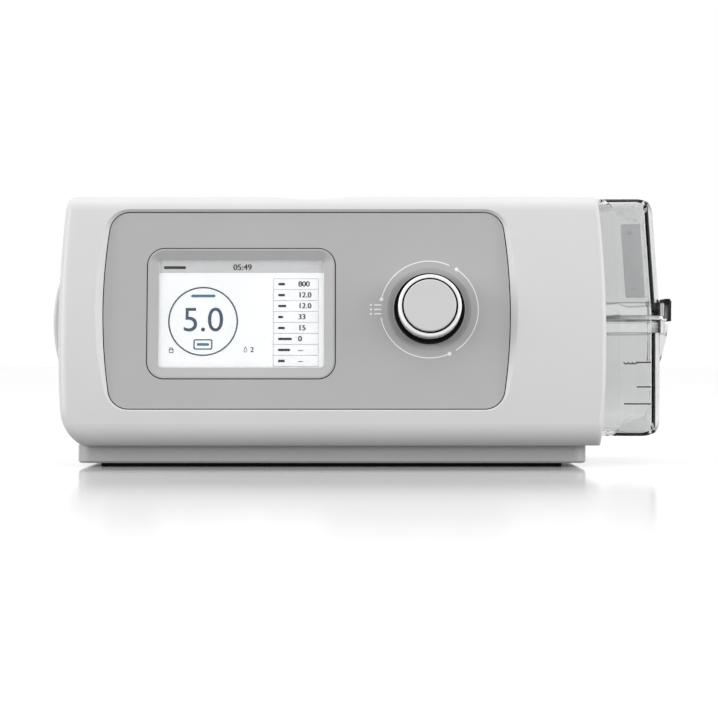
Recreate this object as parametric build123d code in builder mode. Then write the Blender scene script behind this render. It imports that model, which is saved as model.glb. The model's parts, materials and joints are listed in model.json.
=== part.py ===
"""Bench-top bi-level ventilator with a humidifier tank on its right-hand side, in millimetres.

+X runs to the right as the user faces the display, +Y to the back and +Z up. The origin is on the table,
under the centre of the whole machine's bounding box. The main unit is an L in plan: a full-width front wing
that holds the display and the control knob, and a rear box that holds the blower. The tank docks in the
corner of the L from the right, over a sprung heater plate.
"""

import os
from math import cos, radians, sin, tan

from build123d import *

# ---------------------------------------------------------------- main unit, outer skin
WALL = 2.4
FRONT_LOW_Y, FRONT_MID_Y, FRONT_TOP_Y = -75.0, -71.4, -62.0
FRONT_LOW_Z, FRONT_MID_Z = 19.56, 70.0
REAR_Y = 62.0
TOP_Z = 122.4
SHELL_BOTTOM_Z = 9.8
CURL_R = 12.0
LEFT_X, LEFT_TOP_X, LEFT_LOW_X = -139.5, -136.5, -138.6
RIGHT_X, RIGHT_TOP_X, RIGHT_LOW_X = 107.3, 104.2, 104.8
SIDE_MID_Z = 62.0
LEFT_FOOT_R = 16.0
TOP_FRONT_R = 8.0
LEFT_EDGE_R = 4.5
RIGHT_EDGE_R, REAR_EDGE_R = 2.0, 2.5
PARTING_Y = -33.0
PARTING_GAP = 0.3
FAR = 200.0

# ---------------------------------------------------------------- docking bay for the tank
BAY_X, BAY_Y, BAY_Z = 20.0, -30.0, 12.4
PORT_Z = 54.0
PORT_IN_Y, PORT_OUT_Y = -8.0, 42.0
PORT_TUBE_R, PORT_BORE_R = 8.0, 6.4
DOCK_HOLE_R = 11.0

# ---------------------------------------------------------------- base
PLINTH_LEFT_X, PLINTH_RIGHT_X = -131.5, 99.0
PLINTH_FRONT_Y, PLINTH_REAR_Y = -63.5, 57.0
PLINTH_LOW_Z, PLINTH_TOP_Z = 1.7, 9.8
PLINTH_R = 6.0
BASE_FLOOR_Z = 4.6
STRIP_LEFT_X, STRIP_RIGHT_X, STRIP_W = -121.0, 88.0, 5.0
STRIP_YS = (-58.6, 38.5)
STRIP_SEAT = 0.8

# ---------------------------------------------------------------- tilted control panel
TILT = 7.5
PANEL_X, PANEL_Y, PANEL_Z = -27.6, -68.3, 70.7
PANEL_HALF_W, PANEL_HALF_H = 91.6, 44.6
PANEL_BOW = 4.0
PANEL_CORNER_R = 9.0
PANEL_T = 2.0
PANEL_GAP = 0.45
BEZEL_GAP = 0.45
LIP_TAPER = -46.0
OUTWARD = Vector(0, -cos(radians(TILT)), sin(radians(TILT)))
PANEL_PLANE = Plane(origin=(PANEL_X, PANEL_Y, PANEL_Z), x_dir=(1, 0, 0), z_dir=OUTWARD)
TRAY_DEPTH, TRAY_T = 2.2, 2.2
SCREEN_U, SCREEN_V = -29.5, -1.4
SCREEN_W, SCREEN_H = 74.7, 48.8
BEZEL_W, BEZEL_H, BEZEL_R = 84.4, 59.0, 7.6
KNOB_U, KNOB_V = 55.3, 0.4
KNOB_R, KNOB_RING_R, KNOB_RING_T, KNOB_CAP_R, KNOB_TALL = 16.0, 14.2, 1.6, 11.75, 13.0

# ---------------------------------------------------------------- start button, on top
START_X, START_Y = -26.0, -46.0
START_R = 10.0
DISH_R, DISH_DEEP = 20.5, 1.1

# ---------------------------------------------------------------- blower and air path
BLOWER_X, BLOWER_Y, BLOWER_Z = -45.0, 14.0, 54.0
SCROLL_R, SCROLL_H = 32.0, 20.0
WHEEL_R = 24.0
MOUNT_STEP = 25.0
BOARD_Y, BOARD_T = -52.0, 1.6

# ---------------------------------------------------------------- humidifier tank
TANK_LEFT, TANK_FRONT, TANK_REAR = 24.0, -26.0, 60.0
CAP_X, CAP_FRONT, CAP_SIDE_RUN = 116.5, -42.0, 7.1
CAP_CORNER_X, CAP_BULGE_X = 131.8, 139.2
TANK_LOW_Z, TUB_TOP_Z = 13.0, 66.8
LID_LEFT, LID_LOW_Z, LID_TOP_Z = 32.5, 68.7, 123.0
LID_LEAN = -0.07
DECK_X = 36.0
TANK_WALL = 2.2
FLANGE_OUT, FLANGE_H = 2.4, 6.0
HINGE_X, HINGE_Z, HINGE_PIN_R = 27.5, 118.0, 1.5
LATCH_Y, LATCH_HALF = 14.0, 12.0
LATCH_PIN_X, LATCH_PIN_Z = 142.2, 75.8
LATCH_PIN_R, LUG_R = 0.6, 1.0


def panel_plane(depth, u=0.0, v=0.0):
    """The control panel's plane, `depth` mm into the machine, with its origin moved along the panel."""
    plane = PANEL_PLANE.offset(-depth)
    return Plane(origin=plane.from_local_coords((u, v, 0)), x_dir=(1, 0, 0), z_dir=OUTWARD)


def panel_y(z, depth):
    """Where a plane `depth` mm under the panel's face stands at the height z."""
    return PANEL_Y + (z - PANEL_Z) * tan(radians(TILT)) + depth / cos(radians(TILT))


def block(low, high, mode=Mode.ADD):
    """A block from its lowest to its highest corner, in the part being built."""
    centre = [(a + b) / 2 for a, b in zip(low, high)]
    size = [b - a for a, b in zip(low, high)]
    with Locations(Vector(*centre)):
        Box(*size, mode=mode)


def bar(start, end, radius, mode=Mode.ADD):
    """A round bar from one point to another, in the part being built."""
    line = Vector(*end) - Vector(*start)
    with Locations(Plane(origin=start, z_dir=line)):
        Cylinder(radius, line.length, align=(Align.CENTER, Align.CENTER, Align.MIN), mode=mode)


def pipe(start, end, outer, bore):
    """A straight pipe from one point to another, in the part being built."""
    line = Vector(*end) - Vector(*start)
    plane = Plane(origin=start, z_dir=line)
    add(Solid.make_cylinder(outer, line.length, plane) - Solid.make_cylinder(bore, line.length, plane))


# ================================================================ outer skin of the main unit
def left_rim(edges):
    """The edges where the left end turns into the front, the bottom curl and the top."""
    rim = []
    for edge in edges:
        box = edge.bounding_box()
        at_left = box.max.X < -125 and box.min.Y < 60
        front = box.max.Y < -45
        top = box.min.Z > 112
        along_top = box.min.Z > 100 and box.size.X > 3
        if at_left and (front or top) and not along_top:
            rim.append(edge)
    return rim


def right_rim(edges):
    """The edges where the right end turns into the front and the top."""
    rim = []
    for edge in edges:
        box = edge.bounding_box()
        if box.min.X > 100 and (box.max.Y < -55 or box.min.Z > 110):
            rim.append(edge)
    return rim


def rear_rim(edges):
    """The edges where the back turns into the top and the left end."""
    rim = []
    for edge in edges:
        box = edge.bounding_box()
        at_back = box.min.Y > REAR_Y - 0.1
        if at_back and (box.min.Z > 110 or box.max.X < -120 and box.size.Z > 40):
            rim.append(edge)
    return rim


def body_solid(inset):
    """The main unit's full shape, `inset` mm inside its skin and solid."""
    with BuildPart() as solid:
        with BuildSketch(Plane.YZ):
            with BuildLine():
                front = ThreePointArc(
                    (FRONT_LOW_Y, FRONT_LOW_Z), (FRONT_MID_Y, FRONT_MID_Z), (FRONT_TOP_Y, TOP_Z)
                )
                curl = ThreePointArc(
                    (FRONT_LOW_Y, FRONT_LOW_Z),
                    (FRONT_LOW_Y + CURL_R * 0.1, FRONT_LOW_Z - CURL_R * 0.4359),
                    (FRONT_LOW_Y + CURL_R * 0.4182, SHELL_BOTTOM_Z),
                )
                Polyline(front @ 1, (REAR_Y, TOP_Z), (REAR_Y, SHELL_BOTTOM_Z), curl @ 1)
            make_face()
            if inset:
                offset(amount=-inset, kind=Kind.INTERSECTION)
        extrude(amount=FAR, both=True)
        with BuildSketch(Plane.XZ):
            with BuildLine():
                left = ThreePointArc(
                    (LEFT_LOW_X, LEFT_FOOT_R + 10), (LEFT_X, SIDE_MID_Z), (LEFT_TOP_X, TOP_Z)
                )
                foot = ThreePointArc(
                    (LEFT_LOW_X, LEFT_FOOT_R + 10),
                    (LEFT_LOW_X + LEFT_FOOT_R * 0.1, LEFT_FOOT_R * 0.5641 + 10),
                    (LEFT_LOW_X + LEFT_FOOT_R * 0.6, SHELL_BOTTOM_Z),
                )
                right = ThreePointArc(
                    (RIGHT_TOP_X, TOP_Z), (RIGHT_X, SIDE_MID_Z), (RIGHT_LOW_X, SHELL_BOTTOM_Z)
                )
                Line(left @ 1, right @ 0)
                Line(right @ 1, foot @ 1)
            make_face()
            if inset:
                offset(amount=-inset, kind=Kind.INTERSECTION)
        extrude(amount=FAR, both=True, mode=Mode.INTERSECT)
        along_x = solid.edges().filter_by(Axis.X).group_by(Axis.Z)[-1]
        fillet(along_x.sort_by(Axis.Y)[0], TOP_FRONT_R - inset)
        if not inset:
            fillet(left_rim(solid.edges()), LEFT_EDGE_R)
            fillet(right_rim(solid.edges()), RIGHT_EDGE_R)
            fillet(rear_rim(solid.edges()), REAR_EDGE_R)
    return solid.part


outer_skin = body_solid(0)
inner_skin = body_solid(WALL)

bay_solid = Box(FAR, FAR, FAR, align=Align.MIN).moved(Location((BAY_X, BAY_Y, BAY_Z)))


# ================================================================ control panel recess
def panel_outline(grow):
    """The panel's outline, with bowed ends, `grow` mm outside its own edge."""
    high, wide = PANEL_HALF_H, PANEL_HALF_W
    with BuildSketch() as outline:
        with BuildLine():
            right = ThreePointArc((wide - PANEL_BOW, -high), (wide, 0), (wide - PANEL_BOW, high))
            left = ThreePointArc((-wide + PANEL_BOW, high), (-wide, 0), (-wide + PANEL_BOW, -high))
            Line(right @ 1, left @ 0)
            Line(left @ 1, right @ 0)
        make_face()
        fillet(vertices(), PANEL_CORNER_R)
        if grow:
            offset(amount=grow)
    return outline.sketch


with BuildPart() as panel_pocket:
    with BuildSketch(panel_plane(TRAY_DEPTH)):
        add(panel_outline(PANEL_GAP))
    extrude(amount=TRAY_DEPTH)
    with BuildSketch(panel_plane(0)):
        add(panel_outline(PANEL_GAP))
    extrude(amount=7, taper=LIP_TAPER)

with BuildPart() as panel_tray:
    with BuildSketch(panel_plane(TRAY_DEPTH + TRAY_T)):
        add(panel_outline(2.6))
    extrude(amount=12)
    add(outer_skin, mode=Mode.INTERSECT)

# ================================================================ front housing
LEG_SPOTS_FRONT = [(-118, -52), (88, -46)]
LEG_SPOTS_REAR = [(-118, 48), (6, 50)]
BOARD_POSTS = [(-108, 28), (0, 28), (-108, 98), (0, 98)]

with BuildPart() as start_dish:
    with Locations((START_X, START_Y, TOP_Z - DISH_DEEP)):
        Cone(DISH_R - 6, DISH_R, DISH_DEEP, align=(Align.CENTER, Align.CENTER, Align.MIN))
    bar((START_X, START_Y, TOP_Z), (START_X, START_Y, TOP_Z + 5), DISH_R)

with BuildPart() as front_housing:
    add(outer_skin)
    add(inner_skin, mode=Mode.SUBTRACT)
    block((-124, -58, 5), (92, 0, 20), mode=Mode.SUBTRACT)
    add(panel_tray.part)
    for x, z in BOARD_POSTS:
        bar((x, panel_y(z, 3.2), z), (x, BOARD_Y - 0.05, z), 3.0)
        bar((x, BOARD_Y - 6, z), (x, BOARD_Y, z), 1.2, mode=Mode.SUBTRACT)
    for x, y in LEG_SPOTS_FRONT:
        block((x - 4.5, y - 4.5, PLINTH_TOP_Z), (x + 4.5, y + 4.5, 34))
        block((x - 1, y - 21, 14), (x + 1, y, 30))
        bar((x, y, 0), (x, y, 26), 1.3, mode=Mode.SUBTRACT)
    add(outer_skin, mode=Mode.INTERSECT)
    with BuildPart(mode=Mode.SUBTRACT):
        add(panel_pocket.part)
    with BuildSketch(panel_plane(6, SCREEN_U, SCREEN_V)):
        RectangleRounded(80, 54, 2)
    extrude(amount=6, mode=Mode.SUBTRACT)
    with BuildSketch(panel_plane(6, KNOB_U, KNOB_V)):
        Circle(5.2)
    extrude(amount=6, mode=Mode.SUBTRACT)
    bar((START_X, START_Y, 100), (START_X, START_Y, 140), START_R + 0.35, mode=Mode.SUBTRACT)
    add(start_dish.part, mode=Mode.SUBTRACT)
    split(bisect_by=Plane.XZ.offset(-PARTING_Y + PARTING_GAP), keep=Keep.TOP)

# ================================================================ rear housing
FILTER_Y, FILTER_Z = 2.0, 65.5
FILTER_W, FILTER_H, FILTER_R = 58.0, 52.0, 12.0
REAR_PANEL_LOW = (-124.0, 18.0)
REAR_PANEL_HIGH = (13.0, 112.0)
SCREW_SPOTS = [(-120.8, 21.2), (9.8, 21.2), (-120.8, 108.8), (9.8, 108.8)]
FILTER_PLANE = Plane(origin=(-120, FILTER_Y, FILTER_Z), x_dir=(0, -1, 0), z_dir=(-1, 0, 0))

with BuildPart() as bay_lining:
    block((BAY_X - WALL, BAY_Y - WALL, SHELL_BOTTOM_Z), (FAR, FAR, FAR))
    add(outer_skin, mode=Mode.INTERSECT)

with BuildPart() as rear_housing:
    add(outer_skin)
    add(inner_skin, mode=Mode.SUBTRACT)
    add(bay_lining.part)
    add(bay_solid, mode=Mode.SUBTRACT)
    block((-124, -60, 5), (BAY_X - WALL - 4, 55, 12.3), mode=Mode.SUBTRACT)
    split(bisect_by=Plane.XZ.offset(-PARTING_Y), keep=Keep.BOTTOM)
    add(start_dish.part, mode=Mode.SUBTRACT)
    # tongues that reach inside the front housing
    for x in (-105, 0):
        block((x, PARTING_Y - 5, TOP_Z - 2 * WALL - 0.2), (x + 45, PARTING_Y + 4, TOP_Z - WALL - 0.2))
        block((x, PARTING_Y + 0.6, TOP_Z - 2 * WALL - 0.2), (x + 45, PARTING_Y + 4, TOP_Z - WALL + 0.2))
    add(bay_solid, mode=Mode.SUBTRACT)
    # filter well behind the side cover
    with BuildSketch(FILTER_PLANE):
        RectangleRounded(FILTER_W + 3.2, FILTER_H + 3.2, FILTER_R + 1.6)
    extrude(amount=18)
    with BuildSketch(FILTER_PLANE.offset(1.6)):
        RectangleRounded(FILTER_W, FILTER_H, FILTER_R)
    extrude(amount=30, mode=Mode.SUBTRACT)
    with BuildSketch(FILTER_PLANE):
        with GridLocations(12, 0, 4, 1):
            SlotOverall(40, 6, rotation=90)
    extrude(amount=3, mode=Mode.SUBTRACT)
    # back panel opening with a ledge to screw it to
    x_low, z_low = REAR_PANEL_LOW
    x_high, z_high = REAR_PANEL_HIGH
    block((x_low - 3, REAR_Y - 7, z_low - 3), (x_high + 3, REAR_Y - 1, z_high + 3))
    block((x_low - 0.4, REAR_Y - WALL - 0.1, z_low - 0.4), (x_high + 0.4, FAR, z_high + 0.4), mode=Mode.SUBTRACT)
    block((x_low + 6, REAR_Y - 12, z_low + 6), (x_high - 6, FAR, z_high - 6), mode=Mode.SUBTRACT)
    bar((-2, 40, PORT_Z), (-2, FAR, PORT_Z), 12.6, mode=Mode.SUBTRACT)
    for x, z in SCREW_SPOTS:
        bar((x, REAR_Y - 12, z), (x, REAR_Y, z), 1.5, mode=Mode.SUBTRACT)
    # ports to the tank
    for y in (PORT_IN_Y, PORT_OUT_Y):
        bar((BAY_X - 10, y, PORT_Z), (BAY_X + 5, y, PORT_Z), DOCK_HOLE_R, mode=Mode.SUBTRACT)
    # heater plate opening in the bay floor
    block((33.5, -4.5, 5), (90.5, 49.5, 14), mode=Mode.SUBTRACT)
    for x, y in LEG_SPOTS_REAR:
        block((x - 4.5, y - 4.5, PLINTH_TOP_Z), (x + 4.5, REAR_Y - 1.5, 17))
        bar((x, y, 0), (x, y, 17.5), 1.3, mode=Mode.SUBTRACT)

# ================================================================ base tray and rubber strips
STRIP_MID_X = (STRIP_LEFT_X + STRIP_RIGHT_X) / 2
STRIP_LONG = STRIP_RIGHT_X - STRIP_LEFT_X

with BuildPart() as base_tray:
    with BuildSketch(Plane.XY.offset(PLINTH_LOW_Z)):
        with BuildLine():
            Polyline(
                (PLINTH_LEFT_X, PLINTH_FRONT_Y),
                (PLINTH_RIGHT_X, PLINTH_FRONT_Y),
                (PLINTH_RIGHT_X, PLINTH_REAR_Y),
                (PLINTH_LEFT_X, PLINTH_REAR_Y),
                close=True,
            )
        make_face()
        fillet(vertices(), PLINTH_R)
    extrude(amount=PLINTH_TOP_Z - PLINTH_LOW_Z)
    with BuildSketch(Plane.XY.offset(BASE_FLOOR_Z)) as tray_inside:
        with Locations(((PLINTH_LEFT_X + PLINTH_RIGHT_X) / 2, (PLINTH_FRONT_Y + PLINTH_REAR_Y) / 2)):
            RectangleRounded(
                PLINTH_RIGHT_X - PLINTH_LEFT_X - 5, PLINTH_REAR_Y - PLINTH_FRONT_Y - 5, PLINTH_R - 2.5
            )
    extrude(amount=20, mode=Mode.SUBTRACT)
    chamfer(base_tray.edges().group_by(Axis.Z)[0], 0.8)
    for x, y in LEG_SPOTS_FRONT + LEG_SPOTS_REAR:
        bar((x, y, PLINTH_LOW_Z), (x, y, PLINTH_TOP_Z), 4.2)
        bar((x, y, 0), (x, y, 20), 1.7, mode=Mode.SUBTRACT)
        bar((x, y, 0), (x, y, PLINTH_LOW_Z + 2.6), 3.2, mode=Mode.SUBTRACT)
    for x in (BLOWER_X - MOUNT_STEP, BLOWER_X + MOUNT_STEP):
        for y in (BLOWER_Y - MOUNT_STEP, BLOWER_Y + MOUNT_STEP):
            bar((x, y, PLINTH_LOW_Z + 0.4), (x, y, 32), 4.0)
    for row in range(7):
        block((-100, -20 + row * 8, 0), (-88, -17 + row * 8, 6), mode=Mode.SUBTRACT)
    with BuildSketch(Plane.XY):
        for y in STRIP_YS:
            with Locations((STRIP_MID_X, y)):
                RectangleRounded(STRIP_LONG + 0.2, STRIP_W + 0.2, 2.1)
    extrude(amount=PLINTH_LOW_Z + STRIP_SEAT, mode=Mode.SUBTRACT)

with BuildPart() as feet:
    with BuildSketch(Plane.XY):
        for y in STRIP_YS:
            with Locations((STRIP_MID_X, y)):
                RectangleRounded(STRIP_LONG, STRIP_W, 2)
    extrude(amount=PLINTH_LOW_Z + STRIP_SEAT)
    chamfer(feet.edges().group_by(Axis.Z)[0], 0.4)

with BuildPart() as base_screws:
    for x, y in LEG_SPOTS_FRONT + LEG_SPOTS_REAR:
        bar((x, y, PLINTH_LOW_Z + 0.6), (x, y, PLINTH_LOW_Z + 2.6), 2.9)
        bar((x, y, PLINTH_LOW_Z + 2.5), (x, y, 17), 1.3)
        block((x - 1.6, y - 0.3, 0), (x + 1.6, y + 0.3, PLINTH_LOW_Z + 1.4), mode=Mode.SUBTRACT)
        block((x - 0.3, y - 1.6, 0), (x + 0.3, y + 1.6, PLINTH_LOW_Z + 1.4), mode=Mode.SUBTRACT)

# ================================================================ control panel and its prints
with BuildPart() as control_panel:
    with BuildSketch(panel_plane(PANEL_T)):
        add(panel_outline(0))
    extrude(amount=PANEL_T)
    with BuildSketch(panel_plane(PANEL_T, SCREEN_U, SCREEN_V)):
        RectangleRounded(BEZEL_W + 2 * BEZEL_GAP, BEZEL_H + 2 * BEZEL_GAP, BEZEL_R + BEZEL_GAP)
    extrude(amount=PANEL_T, mode=Mode.SUBTRACT)
    with BuildSketch(panel_plane(PANEL_T, KNOB_U, KNOB_V)):
        Circle(5.2)
    extrude(amount=PANEL_T, mode=Mode.SUBTRACT)
    with BuildSketch(panel_plane(0.5, KNOB_U, KNOB_V)):
        Circle(KNOB_R + 0.6)
    extrude(amount=3, taper=-78, mode=Mode.SUBTRACT)

DIAL_R, DIAL_LINE, DIAL_DOT = 22.05, 0.45, 0.85
DIAL_ARCS = [(168, 66), (56, -57), (-66, -170)]
PRINT_T = 0.08

with BuildPart() as dial_marks:
    with BuildSketch(panel_plane(-0.01, KNOB_U, KNOB_V)):
        for start, end in DIAL_ARCS:
            with BuildLine():
                CenterArc((0, 0), DIAL_R, start, end - start)
                offset(amount=DIAL_LINE / 2)
            make_face()
            with PolarLocations(DIAL_R, 1, start_angle=start):
                Circle(DIAL_DOT)
        for row in range(3):
            with Locations((-26.3, 2.0 - row * 2.0)):
                Rectangle(0.9, 0.8)
            with Locations((-23.2, 2.0 - row * 2.0)):
                Rectangle(3.3, 0.6)
    extrude(amount=PRINT_T)

# ================================================================ display
with BuildPart() as display_bezel:
    with BuildSketch(panel_plane(PANEL_T, SCREEN_U, SCREEN_V)):
        RectangleRounded(BEZEL_W, BEZEL_H, BEZEL_R)
    extrude(amount=PANEL_T + 0.25)
    with BuildSketch(panel_plane(-0.25, SCREEN_U, SCREEN_V)):
        RectangleRounded(BEZEL_W - 1.6, BEZEL_H - 1.6, BEZEL_R - 0.8)
    with BuildSketch(panel_plane(1.6, SCREEN_U, SCREEN_V)):
        RectangleRounded(SCREEN_W, SCREEN_H, 1.2)
    loft(mode=Mode.SUBTRACT)
    with BuildSketch(panel_plane(PANEL_T, SCREEN_U, SCREEN_V)):
        RectangleRounded(SCREEN_W, SCREEN_H, 1.2)
    extrude(amount=PANEL_T, mode=Mode.SUBTRACT)

with BuildPart() as display_lens:
    with BuildSketch(panel_plane(3.3, SCREEN_U, SCREEN_V)):
        RectangleRounded(79, 53, 1.6)
    extrude(amount=1.2)

with BuildPart() as display_module:
    with BuildSketch(panel_plane(7.2, SCREEN_U, SCREEN_V)):
        RectangleRounded(79, 53, 1.6)
    extrude(amount=3.8)

with BuildPart() as display_board:
    with BuildSketch(panel_plane(8.8, SCREEN_U, SCREEN_V)):
        Rectangle(86, 56)
        for u in (-40.5, 40.5):
            for v in (-25.5, 25.5):
                with Locations((u, v)):
                    Circle(1.2, mode=Mode.SUBTRACT)
    extrude(amount=1.5)
    with BuildSketch(panel_plane(10.8, SCREEN_U, SCREEN_V)):
        with Locations((0, -21)):
            Rectangle(24, 5)
        with Locations((-26, 8)):
            Rectangle(10, 10)
        with GridLocations(6, 6, 3, 2):
            Rectangle(3, 2)
    extrude(amount=2.1)

# ================================================================ control knob and its encoder
with BuildPart() as encoder_body:
    with BuildSketch(panel_plane(17.0, KNOB_U, KNOB_V)):
        Rectangle(14, 14)
    extrude(amount=7.4)
    with BuildSketch(panel_plane(9.7, KNOB_U, KNOB_V)):
        Circle(4.6)
    extrude(amount=9.0)
    with BuildSketch(panel_plane(15.0, KNOB_U, KNOB_V)):
        Circle(3.06)
    extrude(amount=20, mode=Mode.SUBTRACT)
    with BuildSketch(panel_plane(10.8, KNOB_U, KNOB_V)):
        Rectangle(34, 26)
        Circle(4.0, mode=Mode.SUBTRACT)
    extrude(amount=1.2)
    for u in (-14, 14):
        with BuildSketch(panel_plane(9.6, KNOB_U + u, KNOB_V)):
            Circle(2.0)
        extrude(amount=9.6 - TRAY_DEPTH - TRAY_T)

with BuildPart() as encoder_plunger:
    with BuildSketch(panel_plane(14.0, KNOB_U, KNOB_V)):
        Circle(2.9)
    extrude(amount=1.6)

with BuildPart() as encoder_shaft:
    with BuildSketch(panel_plane(12.4, KNOB_U, KNOB_V)):
        Circle(3.0)
    extrude(amount=22.0)
    with BuildSketch(panel_plane(-3.0, KNOB_U, KNOB_V)):
        with Locations((0, 2.4)):
            Rectangle(8, 1.8)
    extrude(amount=8, mode=Mode.SUBTRACT)

with BuildPart() as knob_body:
    with BuildSketch(panel_plane(-1.4, KNOB_U, KNOB_V)):
        Circle(KNOB_R)
    extrude(amount=3.4, taper=4)
    with BuildSketch(panel_plane(-4.6, KNOB_U, KNOB_V)):
        Circle(KNOB_RING_R - KNOB_RING_T)
    extrude(amount=6.4)
    with BuildSketch(panel_plane(-1.4, KNOB_U, KNOB_V)):
        Circle(5.4)
    extrude(amount=1.2, mode=Mode.SUBTRACT)
    add(encoder_shaft.part, mode=Mode.SUBTRACT)

with BuildPart() as knob_ring:
    with BuildSketch(panel_plane(-4.9, KNOB_U, KNOB_V)):
        Circle(KNOB_RING_R)
        Circle(KNOB_RING_R - KNOB_RING_T, mode=Mode.SUBTRACT)
    extrude(amount=7.2)
    crown = knob_ring.edges().filter_by(GeomType.CIRCLE).sort_by(Axis.Y)[:2]
    fillet(crown.sort_by(SortBy.RADIUS)[-1], 0.9)

with BuildPart() as knob_cap:
    with BuildSketch(panel_plane(-11.0, KNOB_U, KNOB_V)):
        Circle(KNOB_CAP_R)
    extrude(amount=KNOB_TALL - 11.0)
    fillet(knob_cap.edges().sort_by(Axis.Y)[0], 0.6)

# ================================================================ start button
with BuildPart() as start_button:
    bar((START_X, START_Y, 117.6), (START_X, START_Y, TOP_Z - 0.5), START_R)
    fillet(start_button.edges().sort_by(Axis.Z)[-1], 0.8)
    with BuildSketch(Plane.XY.offset(TOP_Z - 0.7)):
        with Locations((START_X, START_Y)):
            Circle(START_R - 2.6)
    extrude(amount=4, taper=-60, mode=Mode.SUBTRACT)
    bar((START_X, START_Y, 115.6), (START_X, START_Y, 118), START_R + 1.2)
    bar((START_X, START_Y, 112.6), (START_X, START_Y, 116), 1.8)

with BuildPart() as start_switch:
    block((START_X - 16, START_Y - 9, 106.4), (START_X + 16, START_Y + 8, 108.0))
    block((START_X - 3.1, START_Y - 3.1, 108.0), (START_X + 3.1, START_Y + 3.1, 111.6))
    for x in (START_X - 14, START_X + 14):
        bar((x, START_Y, 108.0), (x, START_Y, TOP_Z - WALL), 1.8)

# ================================================================ side cover and inlet filter
COVER_R = 14.0
COVER_PLANE = Plane(origin=(-136.4, FILTER_Y, FILTER_Z), x_dir=(0, -1, 0), z_dir=(-1, 0, 0))


def cover_shape(inset):
    """The side cover's domed block, `inset` mm inside its skin."""
    with BuildPart() as shape:
        with BuildSketch(COVER_PLANE):
            RectangleRounded(FILTER_W - 1.0 - 2 * inset, FILTER_H - 1.0 - 2 * inset, FILTER_R - 0.5 - inset)
        extrude(amount=14)
        with BuildSketch(Plane.XZ):
            with BuildLine():
                arc = ThreePointArc(
                    (-140.1 + inset, FILTER_Z - 29), (-146.5 + inset, FILTER_Z), (-140.1 + inset, FILTER_Z + 29)
                )
                Polyline(arc @ 1, (-136.4, FILTER_Z + 29), (-136.4, FILTER_Z - 29), arc @ 0)
            make_face()
        extrude(amount=80, both=True, mode=Mode.INTERSECT)
    return shape.part


with BuildPart() as filter_cover:
    add(cover_shape(0))
    fillet(filter_cover.edges().filter_by(lambda e: e.bounding_box().max.X < -139.0), 1.2)
    add(cover_shape(1.6), mode=Mode.SUBTRACT)
    for row in range(6):
        block((-144.6, FILTER_Y + 8, FILTER_Z - 17 + 6.4 * row), (-130, FILTER_Y + 24, FILTER_Z - 14 + 6.4 * row), mode=Mode.SUBTRACT)

with BuildPart() as inlet_filter:
    with BuildSketch(FILTER_PLANE.offset(2.0)):
        RectangleRounded(FILTER_W - 1, FILTER_H - 1, FILTER_R - 0.5)
    extrude(amount=9)

# ================================================================ muffler over the blower
MUFFLER_LOW, MUFFLER_HIGH = (-119.4, -20.0, 71.0), (-12.0, 48.0, 106.0)

with BuildPart() as inlet_muffler:
    block(MUFFLER_LOW, MUFFLER_HIGH)
    fillet(inlet_muffler.edges().filter_by(Axis.Z), 5)
    block((-117.4, -18, 73), (-14, 46, 104), mode=Mode.SUBTRACT)
    block((-125, -16, 74), (-110, 26, 90), mode=Mode.SUBTRACT)
    bar((BLOWER_X, BLOWER_Y, 60), (BLOWER_X, BLOWER_Y, 75), 13, mode=Mode.SUBTRACT)

with BuildPart() as muffler_foam:
    block((-117, -17.6, 92.4), (-14.4, 45.6, 103.9))
    block((-88, -17.6, 73.1), (-84, 20, 92.4))
    block((-68, 10, 73.1), (-64, 45.6, 92.4))

# ================================================================ blower
SCROLL_CUT = Plane.XY.offset(BLOWER_Z)


def scroll(grow, height):
    """The blower casing's outline with its tangential outlet, as a solid centred on the wheel."""
    with BuildPart() as shape:
        with BuildSketch(Plane.XY.offset(BLOWER_Z - height / 2)):
            with Locations((BLOWER_X, BLOWER_Y)):
                Circle(SCROLL_R + grow)
            with BuildLine():
                low = PORT_IN_Y - 8 - grow
                high = PORT_IN_Y + 8 + grow
                Polyline((BLOWER_X, low), (-10, low), (-10, high), (BLOWER_X, high), close=True)
            make_face()
        extrude(amount=height)
    return shape.part


with BuildPart() as blower_shell:
    add(scroll(0, SCROLL_H))
    add(scroll(-2, SCROLL_H - 4), mode=Mode.SUBTRACT)
    block((-12.5, PORT_IN_Y - 6, BLOWER_Z - 8), (-5, PORT_IN_Y + 6, BLOWER_Z + 8), mode=Mode.SUBTRACT)

with BuildPart() as blower_base:
    add(blower_shell.part)
    split(bisect_by=SCROLL_CUT, keep=Keep.BOTTOM)
    bar((BLOWER_X, BLOWER_Y, 22), (BLOWER_X, BLOWER_Y, 45), 19)
    bar((BLOWER_X, BLOWER_Y, 24), (BLOWER_X, BLOWER_Y, 43), 17, mode=Mode.SUBTRACT)
    bar((BLOWER_X, BLOWER_Y, 42), (BLOWER_X, BLOWER_Y, 48), 3.5, mode=Mode.SUBTRACT)
    bar((BLOWER_X, BLOWER_Y, 20), (BLOWER_X, BLOWER_Y, 26), 3.5, mode=Mode.SUBTRACT)
    for sx in (-1, 1):
        for sy in (-1, 1):
            bar((BLOWER_X + MOUNT_STEP * sx, BLOWER_Y + MOUNT_STEP * sy, 44), (BLOWER_X + MOUNT_STEP * sx, BLOWER_Y + MOUNT_STEP * sy, 47), 6)

with BuildPart() as blower_lid:
    add(blower_shell.part)
    split(bisect_by=SCROLL_CUT.offset(0.1), keep=Keep.TOP)
    pipe((BLOWER_X, BLOWER_Y, BLOWER_Z + 8), (BLOWER_X, BLOWER_Y, 70.8), 14.5, 12)
    bar((BLOWER_X, BLOWER_Y, BLOWER_Z + 5), (BLOWER_X, BLOWER_Y, 80), 12, mode=Mode.SUBTRACT)

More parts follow.
